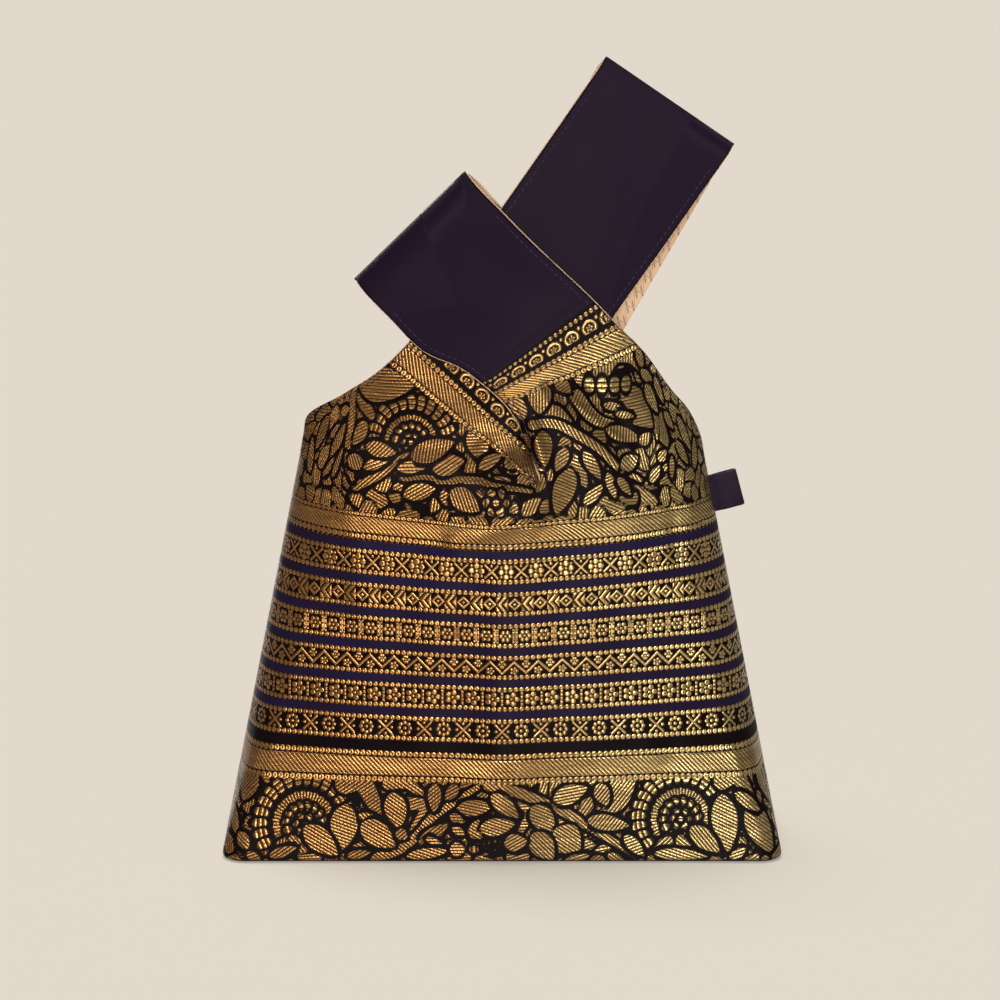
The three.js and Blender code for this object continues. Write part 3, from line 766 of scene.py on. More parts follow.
UPPER_STROKES = [
    ((-72.5, 221, -68, 213.5, -62, 207.5), 8, 10),
    ((-76, 191, -76, 205.5, -76.5, 216, -72.5, 224), 5, 30),
    ((-68.5, 176.5, -57.5, 182, -50, 187.5, -44, 191), 4, 40),
    ((-46.5, 181.5, -30.5, 180.5, -12, 180.5, -3.5, 178, 13.5, 176), 3.4, -50),
    ((46, 229, 52.5, 236, 61, 235, 68, 229), 7.5, 90), ((16.5, 209, 24, 211.5, 31, 206.5), 6.5, 85),
    ((34.5, 218, 40, 210.5, 46, 206, 55.5, 204.5), 6.5, 70),
    ((14, 206.5, 25, 206, 35, 201, 46, 194, 54, 186, 65, 179.5), 4, -60),
]
FILL_PITCH = 9.0
# Between these distances from the middle, the front turns round into the side.
SIDE_TURN = (55, 95)
FRONT_DEPTH = 30.0


def lower_ornament(u, v):
    art = Ornament(u, v)
    art.ground(FILL_PITCH, seed=3)
    art.medallion(-92.8, 17.9, 21, -15, 205, 18)
    art.medallion(84, 20.2, 20, -25, 215, 19)
    art.medallion(-3.3, 6.5, 10, 0, 180, 8, petal=(4.8, 3.4))
    for points, width, angle in LOWER_STROKES:
        art.stroke(points, width, angle)
    for leaf in LOWER_LEAVES:
        art.leaf(*leaf)
    return art


def upper_ornament(x, z):
    art = Ornament(x, z)
    art.ground(FILL_PITCH, seed=8)
    art.medallion(-42.5, 196, 18, 5, 175, 13, petal=(7.5, 4.2))
    for points, width, angle in UPPER_STROKES:
        art.stroke(points, width, angle)
    for leaf in UPPER_LEAVES:
        art.leaf(*leaf)
    for foot in (40.5, 46.5, 52.5, 58):
        art.petal(foot, 223.5, 90, 7.5, 4.8)
    art.leaf(-64.5, 194.5, -49, 191.5, 6.5, 40)
    art.leaf(-42.5, 189.5, -22, 196.5, 9.5, 80)
    art.flower(-2.8, 171, 6.3)
    return art


def unrolled(p):
    """Place across the photographed view, going on round the sides of the bag."""
    x, y = p[:, 0], p[:, 1]
    return x + np.sign(x) * smooth(*SIDE_TURN, np.abs(x)) * (y + FRONT_DEPTH)


def motifs(panel):
    """The three numbers of the woven motifs for each vertex of a panel."""
    u, v = panel.cloth.T
    lower = v < FLORAL_BAND + 2
    upper = v > UPPER_ROPE
    result = np.zeros((len(u), 3))
    result[:, 0] = -FAR
    for part, art in (
        (lower, lower_ornament(u[lower], v[lower])),
        (upper, upper_ornament(unrolled(panel.points)[upper], panel.points[upper, 2])),
    ):
        result[part] = np.stack([art.inside, art.across, art.along], 1)
    return result


# Meshes

def new_mesh(name, points, faces):
    """An object of four-sided faces, from points in millimetres."""
    mesh = bpy.data.meshes.new(name)
    mesh.vertices.add(len(points))
    mesh.vertices.foreach_set("co", (points * MM).ravel())
    mesh.loops.add(faces.size)
    mesh.loops.foreach_set("vertex_index", faces.ravel())
    mesh.polygons.add(len(faces))
    mesh.polygons.foreach_set("loop_start", np.arange(0, faces.size, 4))
    mesh.polygons.foreach_set("use_smooth", np.ones(len(faces), bool))
    mesh.update(calc_edges=True)
    mesh.validate()
    piece = bpy.data.objects.new(name, mesh)
    bpy.context.scene.collection.objects.link(piece)
    return piece


def dress(piece, material):
    """Gives a piece its material and its body."""
    piece.data.materials.append(material)
    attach(piece, "root")


def cloth_piece(name, panel, mirrored, material):
    points, faces = panel.points, panel.faces
    if mirrored:
        points = points * (1, -1, 1)
        faces = faces[:, ::-1]
    piece = new_mesh(name, points, faces)
    uv = piece.data.uv_layers.new(name="cloth")
    uv.data.foreach_set("uv", panel.cloth[faces.ravel()].ravel())
    dress(piece, material)
    return piece


# Materials. A Term is a number worked out by nodes, so that a pattern is written as a
# formula in millimetres of the cloth.

class Term:
    def __init__(self, maker, socket):
        self.maker, self.socket = maker, socket

    def __add__(self, other):
        return self.maker.math("ADD", self, other)

    def __sub__(self, other):
        return self.maker.math("SUBTRACT", self, other)

    def __rsub__(self, other):
        return self.maker.math("SUBTRACT", other, self)

    def __mul__(self, other):
        return self.maker.math("MULTIPLY", self, other)

    def __truediv__(self, other):
        return self.maker.math("DIVIDE", self, other)

    def __mod__(self, other):
        return self.maker.math("FLOORED_MODULO", self, other)

    def __abs__(self):
        return self.maker.math("ABSOLUTE", self)

    __radd__ = __add__
    __rmul__ = __mul__


class Maker:
    """The nodes of one material."""

    def __init__(self, name):
        self.material = bpy.data.materials.new(name)
        self.material.use_nodes = True
        self.tree = self.material.node_tree
        self.shader = self.tree.nodes["Principled BSDF"]

    def node(self, kind, **settings):
        node = self.tree.nodes.new(kind)
        for key, value in settings.items():
            setattr(node, key, value)
        return node

    def plug(self, value, socket):
        if isinstance(value, Term):
            self.tree.links.new(value.socket, socket)
        else:
            socket.default_value = value

    def math(self, operation, *values):
        node = self.node("ShaderNodeMath", operation=operation)
        for value, socket in zip(values, node.inputs):
            self.plug(value, socket)
        return Term(self, node.outputs[0])

    def least(self, *values):
        return reduce(lambda a, b: self.math("MINIMUM", a, b), values)

    def most(self, *values):
        return reduce(lambda a, b: self.math("MAXIMUM", a, b), values)

    def distance(self, a, b):
        return self.math("SQRT", a * a + b * b)

    def step(self, value, low, high, start=0.0, end=1.0):
        """Rises smoothly from start to end as the value goes from low to high."""
        node = self.node("ShaderNodeMapRange", interpolation_type="SMOOTHSTEP")
        for item, socket in zip((value, low, high, start, end), node.inputs):
            self.plug(item, socket)
        return Term(self, node.outputs[0])

    def parts(self, socket):
        """The three numbers of a vector."""
        node = self.node("ShaderNodeSeparateXYZ")
        self.tree.links.new(socket, node.inputs[0])
        return [Term(self, output) for output in node.outputs]

    def cloth(self):
        """The cloth coordinates, round the bag and up it."""
        return self.parts(self.node("ShaderNodeUVMap", uv_map="cloth").outputs[0])[:2]

    def motif(self):
        """How far inside a woven shape, and the place across and along its hatching."""
        source = self.node("ShaderNodeAttribute", attribute_name="motif")
        return self.parts(source.outputs["Vector"])

    def place(self, axis):
        """Place along an axis of the object, in metres."""
        return self.parts(self.node("ShaderNodeTexCoord").outputs["Object"])[axis]

    def noise(self, scale, detail=2.0, stretch=(1, 1, 1)):
        """Noise of 0 to 1 in the object's space, with features of about 1 / scale metres."""
        place = self.node("ShaderNodeTexCoord")
        scaled = self.node("ShaderNodeMapping")
        scaled.inputs["Scale"].default_value = stretch
        noise = self.node("ShaderNodeTexNoise")
        noise.inputs["Scale"].default_value = scale
        noise.inputs["Detail"].default_value = detail
        self.tree.links.new(place.outputs["Object"], scaled.inputs["Vector"])
        self.tree.links.new(scaled.outputs["Vector"], noise.inputs["Vector"])
        return Term(self, noise.outputs[0])

    def mix(self, share, low, high):
        node = self.node("ShaderNodeMix", data_type="RGBA")
        self.plug(share, node.inputs[0])
        for colour, socket in ((low, node.inputs[6]), (high, node.inputs[7])):
            self.plug(colour if isinstance(colour, Term) else (*colour, 1), socket)
        return Term(self, node.outputs[2])

    def bump(self, height, distance, strength=1.0):
        node = self.node("ShaderNodeBump")
        node.inputs["Strength"].default_value = strength
        node.inputs["Distance"].default_value = distance * MM
        self.plug(height, node.inputs["Height"])
        self.tree.links.new(node.outputs[0], self.shader.inputs["Normal"])

    def along_threads(self, amount, rotation):
        """Stretches highlights across the threads that run round the bag."""
        tangent = self.node("ShaderNodeTangent", direction_type="UV_MAP", uv_map="cloth")
        self.tree.links.new(tangent.outputs[0], self.shader.inputs["Tangent"])
        self.shader.inputs["Anisotropic"].default_value = amount
        self.shader.inputs["Anisotropic Rotation"].default_value = rotation

    def set(self, **values):
        for key, value in values.items():
            self.plug(value, self.shader.inputs[key.replace("_", " ")])


# Colours are linear.
GOLD = (0.44, 0.26, 0.085)
# The next two gold colours are painted light: a painted cool reflection for the right of the bag, and
# painted shade, darker and warmer, for the left.
GOLD_PAINTED_COOL_REFLECTION = (0.42, 0.33, 0.145)
GOLD_PAINTED_SHADE = (0.30, 0.12, 0.034)
GOLD_DARK = (0.10, 0.04, 0.012)
SATIN = (0.0085, 0.0042, 0.0105)
SATIN_STRIPE = (0.0085, 0.0055, 0.020)
GROUND = (0.0035, 0.0016, 0.0018)
THREAD = (0.016, 0.010, 0.026)
SILK_LIGHT = (0.44, 0.28, 0.15)
SILK_DARK = (0.34, 0.205, 0.105)
SILK_DRAWN = (0.12, 0.045, 0.022)
PULP_LIGHT = (0.27, 0.23, 0.17)
PULP_DARK = (0.20, 0.165, 0.12)
PULP_FIBRE = (0.12, 0.10, 0.075)
CLOTH_SPECULAR = 0.05
GOLD_ROUGHNESS = 0.29
SATIN_ROUGHNESS = 0.62

# Pitch of the weft threads, and the halves and centres of the bands, along the cloth
WEFT = 0.62
BAND_INNER = 3.7
BAND_DOTS = 4.9
ROPE_HALF = 4.3
ROPE_DOTS = 6.05
LOWER_ROPE_CENTRE = 45.7
UPPER_ROPE_CENTRE = 162.9


def dot_row(m, u, w, pitch, radius, hole=0.0):
    """How far inside the dots of a row along w = 0, which may have holes in them."""
    away = m.distance(abs(u % pitch - pitch / 2), w)
    return m.least(radius - away, away - hole)


def rope(m, u, w):
    """A diagonally hatched band between two rows of dots."""
    hatch = m.math("PINGPONG", u + w, 1.1) - 0.27
    band = m.least(ROPE_HALF - abs(w), hatch)
    return m.most(band, dot_row(m, u, abs(w) - ROPE_DOTS, 2.8, 1.3, 0.22))


def woven_flower(m, a, w, radius, petals):
    """A ring of round petals round a dot."""
    away = m.distance(a, w)
    turn = m.math("PINGPONG", m.math("ARCTAN2", w, a), math.pi / petals)
    ring = 0.64 * radius
    petal = m.distance(away * m.math("SINE", turn), away * m.math("COSINE", turn) - ring)
    size = min(0.36 * radius, 0.86 * ring * math.sin(math.pi / petals))
    return m.most(size - petal, 0.2 * radius - away)


def crossed_bars(m, b, w, half, reach):
    """An X with its centre where b and w are 0."""
    return m.least(half - abs(abs(w) - abs(b)), reach - abs(b))


def diamond(m, a, w, size):
    """A diamond's outline with a smaller diamond in it."""
    edge = size - abs(a) - abs(w)
    return m.most(m.least(edge, 0.45 * size - edge), edge - 0.72 * size)


def figured_patterns(m, u, w):
    """The six figured bands, from the lowest, as distances inside their shapes."""
    def centred(pitch, shift=0.0):
        return (u + shift) % pitch - pitch / 2

    a = centred(18.3)
    b = 9.15 - abs(a)
    crosses = m.most(
        woven_flower(m, a, w, 4.1, 8),
        crossed_bars(m, b, w, 0.75, 3.6),
        0.7 - m.distance(b, abs(w) - 3.0),
        0.75 - m.distance(b - 2.9, w),
    )
    a = centred(9.3)
    bars = m.least(0.55 - abs(abs(a) - 4.65), m.math("PINGPONG", w, 0.9) - 0.22)
    squares = m.most(woven_flower(m, a, w, 3.7, 5), bars)
    a = centred(11.3)
    line = m.math("PINGPONG", u, 5.65) * (5.6 / 5.65) - 2.8
    zigzag = m.most(
        0.8 - abs(w - line),
        woven_flower(m, a, w + 1.7, 2.1, 5),
        woven_flower(m, 5.65 - abs(a), w - 1.7, 2.1, 5),
    )
    a = centred(9.1, 3.0)
    dashes = m.least(0.5 - abs(abs(a) - 3.75), m.math("PINGPONG", w, 1.2) - 0.25)
    framed = m.most(
        dashes,
        woven_flower(m, a, w, 3.3, 6),
        m.least(0.3 - abs(abs(a) - 4.55), 3.2 - abs(w)),
    )
    a = centred(12.0)
    chevron = m.math("PINGPONG", u - abs(w) * 0.8, 1.5) - 0.55
    chevrons = m.most(m.least(chevron * 0.8, abs(a) - 3.2), diamond(m, a, w, 3.3))
    a = centred(14.0, 5.0)
    b = 7.0 - abs(a)
    flowers = m.most(
        crossed_bars(m, b, w, 0.75, 3.4),
        0.65 - m.distance(b, abs(w) - 2.9),
        woven_flower(m, a, w, 3.7, 4),
        0.7 - m.distance(abs(a) - 2.3, abs(w) - 2.3),
    )
    return crosses, squares, zigzag, framed, chevrons, flowers


def figured_bands(m, u, v):
    """The figured bands with their rows of dots, and the place across the nearest band."""
    from_first = v - (FIRST_BAND - PLAIN_STRIPE / 2)
    w = from_first % BAND_PITCH - BAND_PITCH / 2
    number = m.math("FLOOR", from_first / BAND_PITCH)
    inside = None
    for i, pattern in enumerate(figured_patterns(m, u, w)):
        here = m.math("COMPARE", number, float(i), 0.4)
        part = (pattern + FAR) * here
        inside = part if inside is None else inside + part
    inner = m.least(inside - FAR, BAND_INNER - abs(w))
    dots = dot_row(m, u, abs(w) - BAND_DOTS, 2.65, 1.12)
    return m.most(inner, dots), w


def handle_ornament(m, u, w):
    """The rope row over the foot of a handle, and the small flowers above it."""
    level = w - 12.8
    a = (u + 2.0) % 9.6 - 4.8
    away = m.distance(a, level + 0.5)
    arch = m.least(0.75 - abs(away - 3.1), level + 2.8)
    small = m.most(
        arch,
        woven_flower(m, a, level + 0.8, 1.9, 5),
        0.9 - m.distance(4.8 - abs(a), level - 2.2),
    )
    dots = dot_row(m, u, w - 19.0, 2.8, 1.05)
    return m.most(rope(m, u, w), m.least(small, 4.4 - abs(level)), dots)


def brocade_material():
    """Dark satin with the woven gold: floral bands, ropes and figured bands."""
    m = Maker("Brocade")
    u, v = m.cloth()
    inside, across, along = m.motif()
    weave = m.math("SINE", v * (2 * math.pi / WEFT))
    thread = weave * 0.07
    hatch = m.math("PINGPONG", across, 0.5)
    lines = m.step(hatch, 0.13, 0.27)
    row = m.math("FLOOR", across + 0.5)
    dabs = m.step(m.math("PINGPONG", along * 0.8 + row * 0.37, 0.5), 0.02, 0.14, 0.45, 1.0)
    floral = m.step(inside + thread, -0.06, 0.26)
    lower = 1 - m.step(v, FLORAL_BAND - 0.1, FLORAL_BAND + 0.1)
    on_body = m.step(v, UPPER_FLORAL - 0.1, UPPER_FLORAL + 0.1)
    in_floral = lower + on_body * (1 - m.step(v, HANDLE_ROPE - 7.6, HANDLE_ROPE - 7.4))
    bands, w = figured_bands(m, u, v)
    above_first = m.step(v, FIRST_BAND - 0.5, FIRST_BAND - 0.4)
    in_bands = above_first * (1 - m.step(v, UPPER_ROPE, UPPER_ROPE + 0.1))
    ropes = m.most(rope(m, u, v - LOWER_ROPE_CENTRE), rope(m, u, v - UPPER_ROPE_CENTRE))
    repeats = m.most(
        m.least(bands, (in_bands - 0.5) * 20), ropes, handle_ornament(m, u, v - HANDLE_ROPE),
    )
    woven = m.step(repeats + thread, -0.12, 0.16)
    hatched = floral * (0.08 + 0.92 * lines * dabs) * in_floral
    # Near the base edge the gold fades to a tenth, so that a dark line runs along the bottom where the
    # cloth turns under.
    gold = m.most(hatched, woven) * m.step(v, 0.4, 1.4, 0.1, 1.0)
    pillow = m.most(hatched * m.step(hatch, 0.1, 0.5, 0.4, 1.0), m.step(repeats, -0.15, 0.7))
    stripe = m.step(abs(w), 5.9, 6.3) * in_bands
    satin_handles = m.step(v, HANDLE_ROPE + SATIN_ABOVE - 0.3, HANDLE_ROPE + SATIN_ABOVE + 0.3)
    cloud = m.noise(14, 3)
    # Painted light: the gold gets painted shade, darker and warmer, on the left of the bag, and a
    # painted cool reflection on the right.
    painted_light_share = m.step(m.place(0) + (cloud - 0.5) * 0.06, -0.05, 0.1)
    painted_light_tone = m.mix(painted_light_share, GOLD_PAINTED_SHADE, GOLD_PAINTED_COOL_REFLECTION)
    weft = m.noise(900, 1, stretch=(0.06, 0.06, 1))
    gold_colour = m.mix(0.35, painted_light_tone, GOLD)
    gold_colour = m.mix(m.step(weft, 0.3, 0.7, 0.0, 0.45), gold_colour, GOLD_DARK)
    dark = m.mix(m.most(stripe, satin_handles), GROUND, SATIN)
    dark = m.mix(stripe * m.step(cloud, 0.4, 0.6, 0.4, 1.0), dark, SATIN_STRIPE)
    m.set(
        Base_Color=m.mix(gold, dark, gold_colour),
        Metallic=gold * 0.92,
        Roughness=(
            m.step(gold, 0, 0.7, SATIN_ROUGHNESS, GOLD_ROUGHNESS) + (weft - 0.5) * 0.24 * gold
        ),
        Specular_IOR_Level=CLOTH_SPECULAR,
    )
    m.along_threads(0.92, 0.25)
    ribs = weave * (0.03 + 0.06 * gold)
    m.bump(pillow + ribs + weft * (0.06 + 0.24 * gold), 0.24, 0.8)
    return m.material


def satin_material(name, colour):
    """Dull dark satin, a little lighter in places."""
    m = Maker(name)
    fine = m.noise(2600, 1)
    cloud = m.noise(30, 3)
    lighter = tuple(c * 1.7 + 0.004 for c in colour)
    m.set(
        Base_Color=m.mix(m.step(cloud, 0.3, 0.7, 0.0, 0.5), colour, lighter),
        Roughness=m.step(fine, 0.2, 0.8, 0.55, 0.66),
        Specular_IOR_Level=CLOTH_SPECULAR,
        Sheen_Weight=0.04,
    )
    m.bump(fine, 0.08, 0.5)
    return m.material


# The lining's pattern is this much smaller than it is written.
LINING_SCALE = 1.8


def lining_material():
    """Tan silk with a dark vine and rows of dots."""
    m = Maker("Lining")
    u, v = (place * LINING_SCALE for place in m.cloth())
    w = (u + 6) % 23 - 11.5
    sway = m.math("SINE", v * (2 * math.pi / 19)) * 2.6
    stem = 0.4 - abs(w - sway)
    leaf_at = v % 9.5 - 4.75
    leaf = 1.5 - m.distance((abs(w - sway) - 2.2) * 0.8, leaf_at + w * 0.4)
    border = m.most(dot_row(m, v, abs(w) - 8.2, 2.6, 0.75), 0.3 - abs(abs(w) - 9.8))
    drawn = m.step(m.most(stem, leaf, border), -0.15, 0.2)
    fine = m.noise(2200, 1)
    cloud = m.noise(25, 2)
    ground = m.mix(m.step(cloud, 0.3, 0.7), SILK_DARK, SILK_LIGHT)
    m.set(
        Base_Color=m.mix(drawn * 0.75, ground, SILK_DRAWN),
        Roughness=m.step(fine, 0.2, 0.8, 0.45, 0.6),
        Sheen_Weight=0.15,
    )
    m.along_threads(0.3, 0.25)
    m.bump(fine + drawn * 0.5, 0.1, 0.5)
    return m.material


def board_material():
    """Grey-brown pulp board with short fibres."""
    m = Maker("Board")
    fibres = m.noise(700, 4, stretch=(1, 0.3, 1))
    cloud = m.noise(40, 2)
    pulp = m.mix(m.step(cloud, 0.3, 0.7), PULP_DARK, PULP_LIGHT)
    m.set(
        Base_Color=m.mix(m.step(fibres, 0.35, 0.7, 0.0, 0.6), pulp, PULP_FIBRE),
        Roughness=m.step(fibres, 0.2, 0.8, 0.75, 0.9),
    )
    m.bump(fibres, 0.15, 0.6)
    return m.material


# Stitching along the edges of the handles

STITCH = 2.2
STITCH_GAP = 1.0
STITCH_HALF = 0.28
STITCH_INSET = 3.0
STITCH_RISE = 0.05


def stitch_line(panel, grid, at_start):
    """Points and normals STITCH_INSET inside one edge of a handle."""
    normals = panel.normals()
    order = 1 if at_start else -1
    columns = grid[:, ::order]
    p = panel.points[columns]
    away = arc_lengths(p)
    place, facing = [], []
    for row in range(len(p)):
        k = int(np.searchsorted(away[row], STITCH_INSET)) - 1
        share = (STITCH_INSET - away[row, k]) / (away[row, k + 1] - away[row, k])
        place.append(lerp(p[row, k], p[row, k + 1], share))
        facing.append(normals[columns[row, k]])
    return np.array(place), np.array(facing)


def stitches(lines):
    """A small pillow-shaped stitch at every step along each line."""
    corners = [(-1, 0, 0)] + [
        (x, y, z)
        for x in (-0.8, 0, 0.8)
        for y, z in ((-1, 0), (0, 1), (1, 0), (0, -1))
    ] + [(1, 0, 0)]
    shape = np.array(corners, float)
    shape *= (STITCH / 2, STITCH_HALF, STITCH_HALF)
    sides = []
    for ring in range(2):
        for k in range(4):
            a, b = 1 + ring * 4 + k, 1 + ring * 4 + (k + 1) % 4
            sides.append((a, b, b + 4, a + 4))
    for k in range(0, 4, 2):
        sides.append((0, 1 + (k + 2) % 4, 1 + k + 1, 1 + k))
        sides.append((13, 9 + k, 9 + k + 1, 9 + (k + 2) % 4))
    points, faces = [], []
    for line, facing in lines:
        at = arc_lengths(line[None])[0]
        for start in np.arange(STITCH, at[-1] - STITCH, STITCH + STITCH_GAP):
            middle, ahead, up = (
                np.array([np.interp(where, at, source[:, k]) for k in range(3)])
                for where, source in (
                    (start, line), (start + 0.5, line), (start, facing),
                )
            )
            forward = ahead - middle
            forward /= np.linalg.norm(forward)
            up = up - forward * (up @ forward)
            up /= np.linalg.norm(up)
            across = np.cross(up, forward)
            faces.append(np.array(sides) + len(shape) * len(points))
            points.append(middle + up * STITCH_RISE + shape @ np.array([forward, across, up]))
    return np.concatenate(points), np.concatenate(faces)


# The tab in the right side seam, a strip folded in half

TAB = {"height": 167.0, "width": 17.5, "reach": 13.0, "turn": 15.0, "cloth": 0.9, "half_gap": 1.2}
TAB_SEAM = 0.3
# How far the ends go into the seam, how much thinner they are pressed there, and how far
# out the tab has its full thickness
TAB_SUNK = 3.5
TAB_PINCH = 0.45
TAB_FREE = 4.0
TAB_WAVES = (0.12, 2.2, 3.1)
TAB_STITCH_INSET = 1.8
TAB_STITCH_START = 0.5
TAB_STITCH_POINTS = 20


def tab_place(p):
    """From the tab's own axes, with x out of the seam, to the bag's."""
    turn = math.radians(TAB["turn"])
    back = TAB["width"] / 2 * abs(math.sin(turn - math.atan(SIDE_TAPER)))
    x = p[:, 0] * math.cos(turn) - p[:, 2] * math.sin(turn)
    z = p[:, 0] * math.sin(turn) + p[:, 2] * math.cos(turn)
    seam = half_width(TAB["height"]) + back + TAB_SEAM
    return np.stack([x + seam, p[:, 1], z + TAB["height"]], 1)


def tab_mesh():
    """A rounded strip that goes out, round a bend and back."""
    half = TAB["cloth"] / 2
    middle = TAB["half_gap"] + half
    bend = TAB["reach"] - middle - half
    turns = np.linspace(math.pi / 2, -math.pi / 2, 13)
    path = [(x, middle, 0, 1) for x in np.linspace(-TAB_SUNK, bend, 10)[:-1]]
    path += [
        (bend + middle * math.cos(a), middle * math.sin(a), math.cos(a), math.sin(a))
        for a in turns
    ]
    path += [(x, -middle, 0, -1) for x in np.linspace(bend, -TAB_SUNK, 10)[1:]]
    edge = TAB["width"] / 2 - half
    ring = [(half * math.cos(a), edge + half * math.sin(a)) for a in np.linspace(0, math.pi, 6)]
    ring += [(-half, z) for z in np.linspace(edge, -edge, 12)[1:-1]]
    lower = np.linspace(math.pi, 2 * math.pi, 6)
    ring += [(half * math.cos(a), -edge + half * math.sin(a)) for a in lower]
    ring += [(half, z) for z in np.linspace(-edge, edge, 12)[1:-1]]
    points = np.array([
        (x + nx * out, y + ny * out, z) for x, y, nx, ny in path for out, z in ring
    ])
    free = smooth(0, TAB_FREE, points[:, 0])
    points[:, 1] *= lerp(TAB_PINCH, 1, free)
    height, out, up = TAB_WAVES
    points[:, 1] += height * np.sin(points[:, 0] / out + points[:, 2] / up) * free
    size = len(ring)
    grid = np.arange(len(points)).reshape(-1, size)
    after = np.roll(grid, -1, 1)
    faces = [np.stack([grid[:-1], after[:-1], after[1:], grid[1:]], -1).reshape(-1, 4)]
    for row, order in ((grid[0], -1), (grid[-1], 1)):
        ends = [(row[k], row[k + 1], row[-2 - k], row[-1 - k]) for k in range(size // 2 - 1)]
        faces.append(np.array(ends)[:, ::order])
    return tab_place(points), np.concatenate(faces)


def tab_stitch_lines():
    edge = TAB["width"] / 2 - TAB_STITCH_INSET
    face = TAB["half_gap"] + TAB["cloth"]
    count = TAB_STITCH_POINTS
    xs = np.linspace(TAB_STITCH_START, TAB["reach"] - face, count)
    lines = []
    for side in (-1, 1):
        for z in (-edge, edge):
            line = np.stack([xs, np.full(count, side * face), np.full(count, z)], 1)
            end = line + (0, side, 0)
            place = tab_place(line)
            lines.append((place, tab_place(end) - place))
    return lines


# The pieces. Points lie FINE apart in the ornament, and COARSE apart where the cloth is
# plain or has only bands.

FINE, COARSE = 1.06, 3.2
EDGE_ROLL = 0.6
LINING_FINE, LINING_COARSE = 2.4, 4.0
LINING_INSET, LINING_LIFT = 1.65, 3.8
# The lining's edge turns over and stands out a little past the brocade's.
LINING_ROLL, LINING_REACH = -0.3, 0.45

brocade = brocade_material()
satin = satin_material("Satin", SATIN)
thread = satin_material("Thread", THREAD)
lining = lining_material()
board = board_material()

stitch_sources = []
for name, is_back in (("front", False), ("back", True)):
    panel = Panel(is_back, FINE, COARSE)
    for grid in (panel.long, panel.short):
        for at_start in (True, False):
            line, facing = stitch_line(panel, grid[1:-TURN_STEPS - 2], at_start)
            stitch_sources.append((name, line, facing))
    panel.roll_edge(EDGE_ROLL, 0)
    outer = cloth_piece("Brocade_" + name, panel, is_back, brocade)
    attribute = outer.data.attributes.new("motif", "FLOAT_VECTOR", "POINT")
    attribute.data.foreach_set("vector", motifs(panel).ravel())
    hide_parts("outer_" + name)
    panel = Panel(is_back, LINING_FINE, LINING_COARSE, LINING_INSET, LINING_LIFT)
    panel.roll_edge(LINING_ROLL, LINING_REACH)
    inner = cloth_piece("Lining_" + name, panel, is_back, lining)
    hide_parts("lining_" + name)

for name in ("front", "back"):
    mirror = np.array([1, -1 if name == "back" else 1, 1])
    lines = [
        (line * mirror, facing * mirror)
        for where, line, facing in stitch_sources
        if where == name
    ]
    dress(new_mesh("Topstitching_" + name, *stitches(lines)), thread)

tab = new_mesh("Tab", *tab_mesh())
dress(tab, satin)
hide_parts("side_tab")
dress(new_mesh("Topstitching_tab", *stitches(tab_stitch_lines())), thread)

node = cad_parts["base_board"]
node.data.materials.clear()
node.data.materials.append(board)


# The studio, in metres

FLOOR_COLOUR = (0.776, 0.708, 0.617)
FLOOR_HALF = 40.0
FLOOR_DROP = 0.0002
OWN_LIGHT = 0.45
WORLD_COLOUR = (1, 0.97, 0.92, 1)
WORLD_STRENGTH = 0.16
LIT_POINT = (0, 0, 0.15)


def floor_material():
    """The floor is lit, and it shows part of its own colour to the camera as it is, so that
    it looks even and keeps the bag's shadow."""
    m = Maker("Floor")
    m.set(Base_Color=(*FLOOR_COLOUR, 1), Roughness=0.9, Specular_IOR_Level=0.1)
    glow = m.node("ShaderNodeEmission")
    glow.inputs["Color"].default_value = (*FLOOR_COLOUR, 1)
    path = m.node("ShaderNodeLightPath")
    seen = Term(m, path.outputs["Is Camera Ray"])
    for name in ("Is Glossy Ray", "Is Transmission Ray"):
        seen = m.most(seen, Term(m, path.outputs[name]))
    mixed = m.node("ShaderNodeMixShader")
    m.plug(seen * OWN_LIGHT, mixed.inputs[0])
    m.tree.links.new(m.shader.outputs[0], mixed.inputs[1])
    m.tree.links.new(glow.outputs[0], mixed.inputs[2])
    m.tree.links.new(mixed.outputs[0], m.tree.nodes["Material Output"].inputs["Surface"])
    return m.material


corners = np.array([(-1, -1, 0), (1, -1, 0), (1, 1, 0), (-1, 1, 0)]) * FLOOR_HALF / MM
corners[:, 2] = -FLOOR_DROP / MM
floor = new_mesh("Floor", corners, np.array([[0, 1, 2, 3]]))
floor.data.materials.append(floor_material())

scene = bpy.context.scene
world = bpy.data.worlds.new("World")
world.use_nodes = True
background = world.node_tree.nodes["Background"]
background.inputs["Color"].default_value = WORLD_COLOUR
background.inputs["Strength"].default_value = WORLD_STRENGTH
scene.world = world


def aim(thing, place, target):
    thing.location = place
    thing.rotation_euler = (Vector(target) - Vector(place)).to_track_quat("-Z", "Y").to_euler()


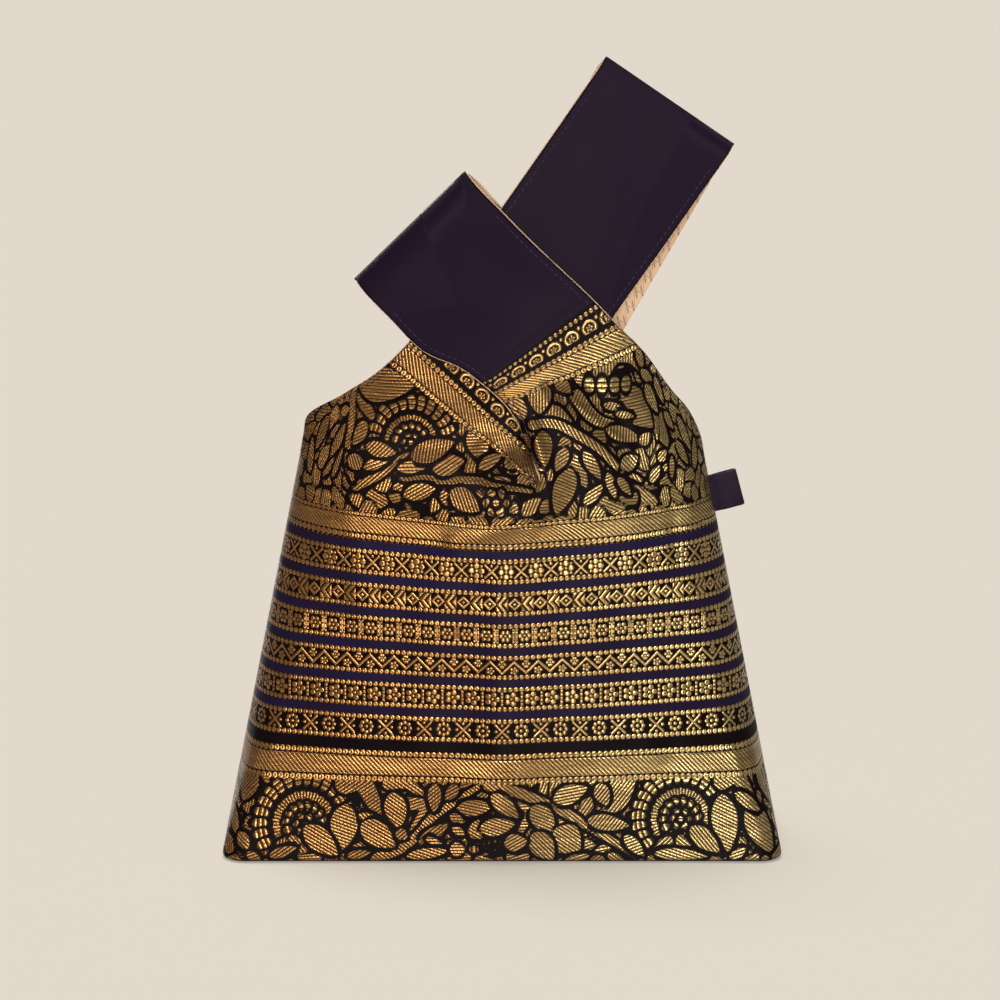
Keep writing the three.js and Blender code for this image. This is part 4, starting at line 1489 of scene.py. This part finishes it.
# The softboxes light what this collection says: everything, with the floor left out.
all_but_floor = bpy.data.collections.new("All but the floor")
all_but_floor.objects.link(floor)
all_but_floor.collection_objects[0].light_linking.link_state = "EXCLUDE"


def new_lamp(name, kind, energy, place):
    """A lamp that looks at the bag."""
    data = bpy.data.lights.new(name, kind)
    data.energy = energy
    lamp = bpy.data.objects.new(name, data)
    scene.collection.objects.link(lamp)
    aim(lamp, place, LIT_POINT)
    return lamp


def softbox(name, azimuth, elevation, distance, size, power):
    """An area lamp; azimuth 0 is the camera's side, 90 the right. It leaves the floor to
    the overhead light, so that the floor is evenly lit."""
    a, e = math.radians(azimuth), math.radians(elevation)
    lamp = new_lamp(name, "AREA", power, (
        distance * math.sin(a) * math.cos(e),
        -distance * math.cos(a) * math.cos(e),
        distance * math.sin(e) + LIT_POINT[2],
    ))
    lamp.data.shape = "RECTANGLE"
    lamp.data.size, lamp.data.size_y = size
    lamp.light_linking.receiver_collection = all_but_floor


softbox("Key", 5, 15, 2.0, (1.1, 0.9), 60)
softbox("Right", 60, 25, 2.2, (0.5, 1.2), 4)
softbox("Back", 190, 20, 2.2, (1.2, 1.0), 40)

# The overhead light is the only lamp that lights the floor as well as the bag.
overhead = new_lamp("Overhead", "SUN", 2.6, (-0.1, 0.2, 1.5))
overhead.data.angle = math.radians(32)

CAMERA_DISTANCE = 2.2
CAMERA_ELEVATION = math.radians(13)
FRAME_WIDTH = 0.4727
LOOKS_AT = (-0.00095, 0, 0.1635)
SENSOR = 36.0

camera_data = bpy.data.cameras.new("Camera")
camera_data.sensor_width = SENSOR
camera_data.lens = SENSOR * CAMERA_DISTANCE / FRAME_WIDTH
camera = bpy.data.objects.new("Camera", camera_data)
scene.collection.objects.link(camera)
aim(camera, (
    LOOKS_AT[0],
    -CAMERA_DISTANCE * math.cos(CAMERA_ELEVATION),
    LOOKS_AT[2] + CAMERA_DISTANCE * math.sin(CAMERA_ELEVATION),
), LOOKS_AT)
scene.camera = camera
scene.view_settings.view_transform = "Standard"
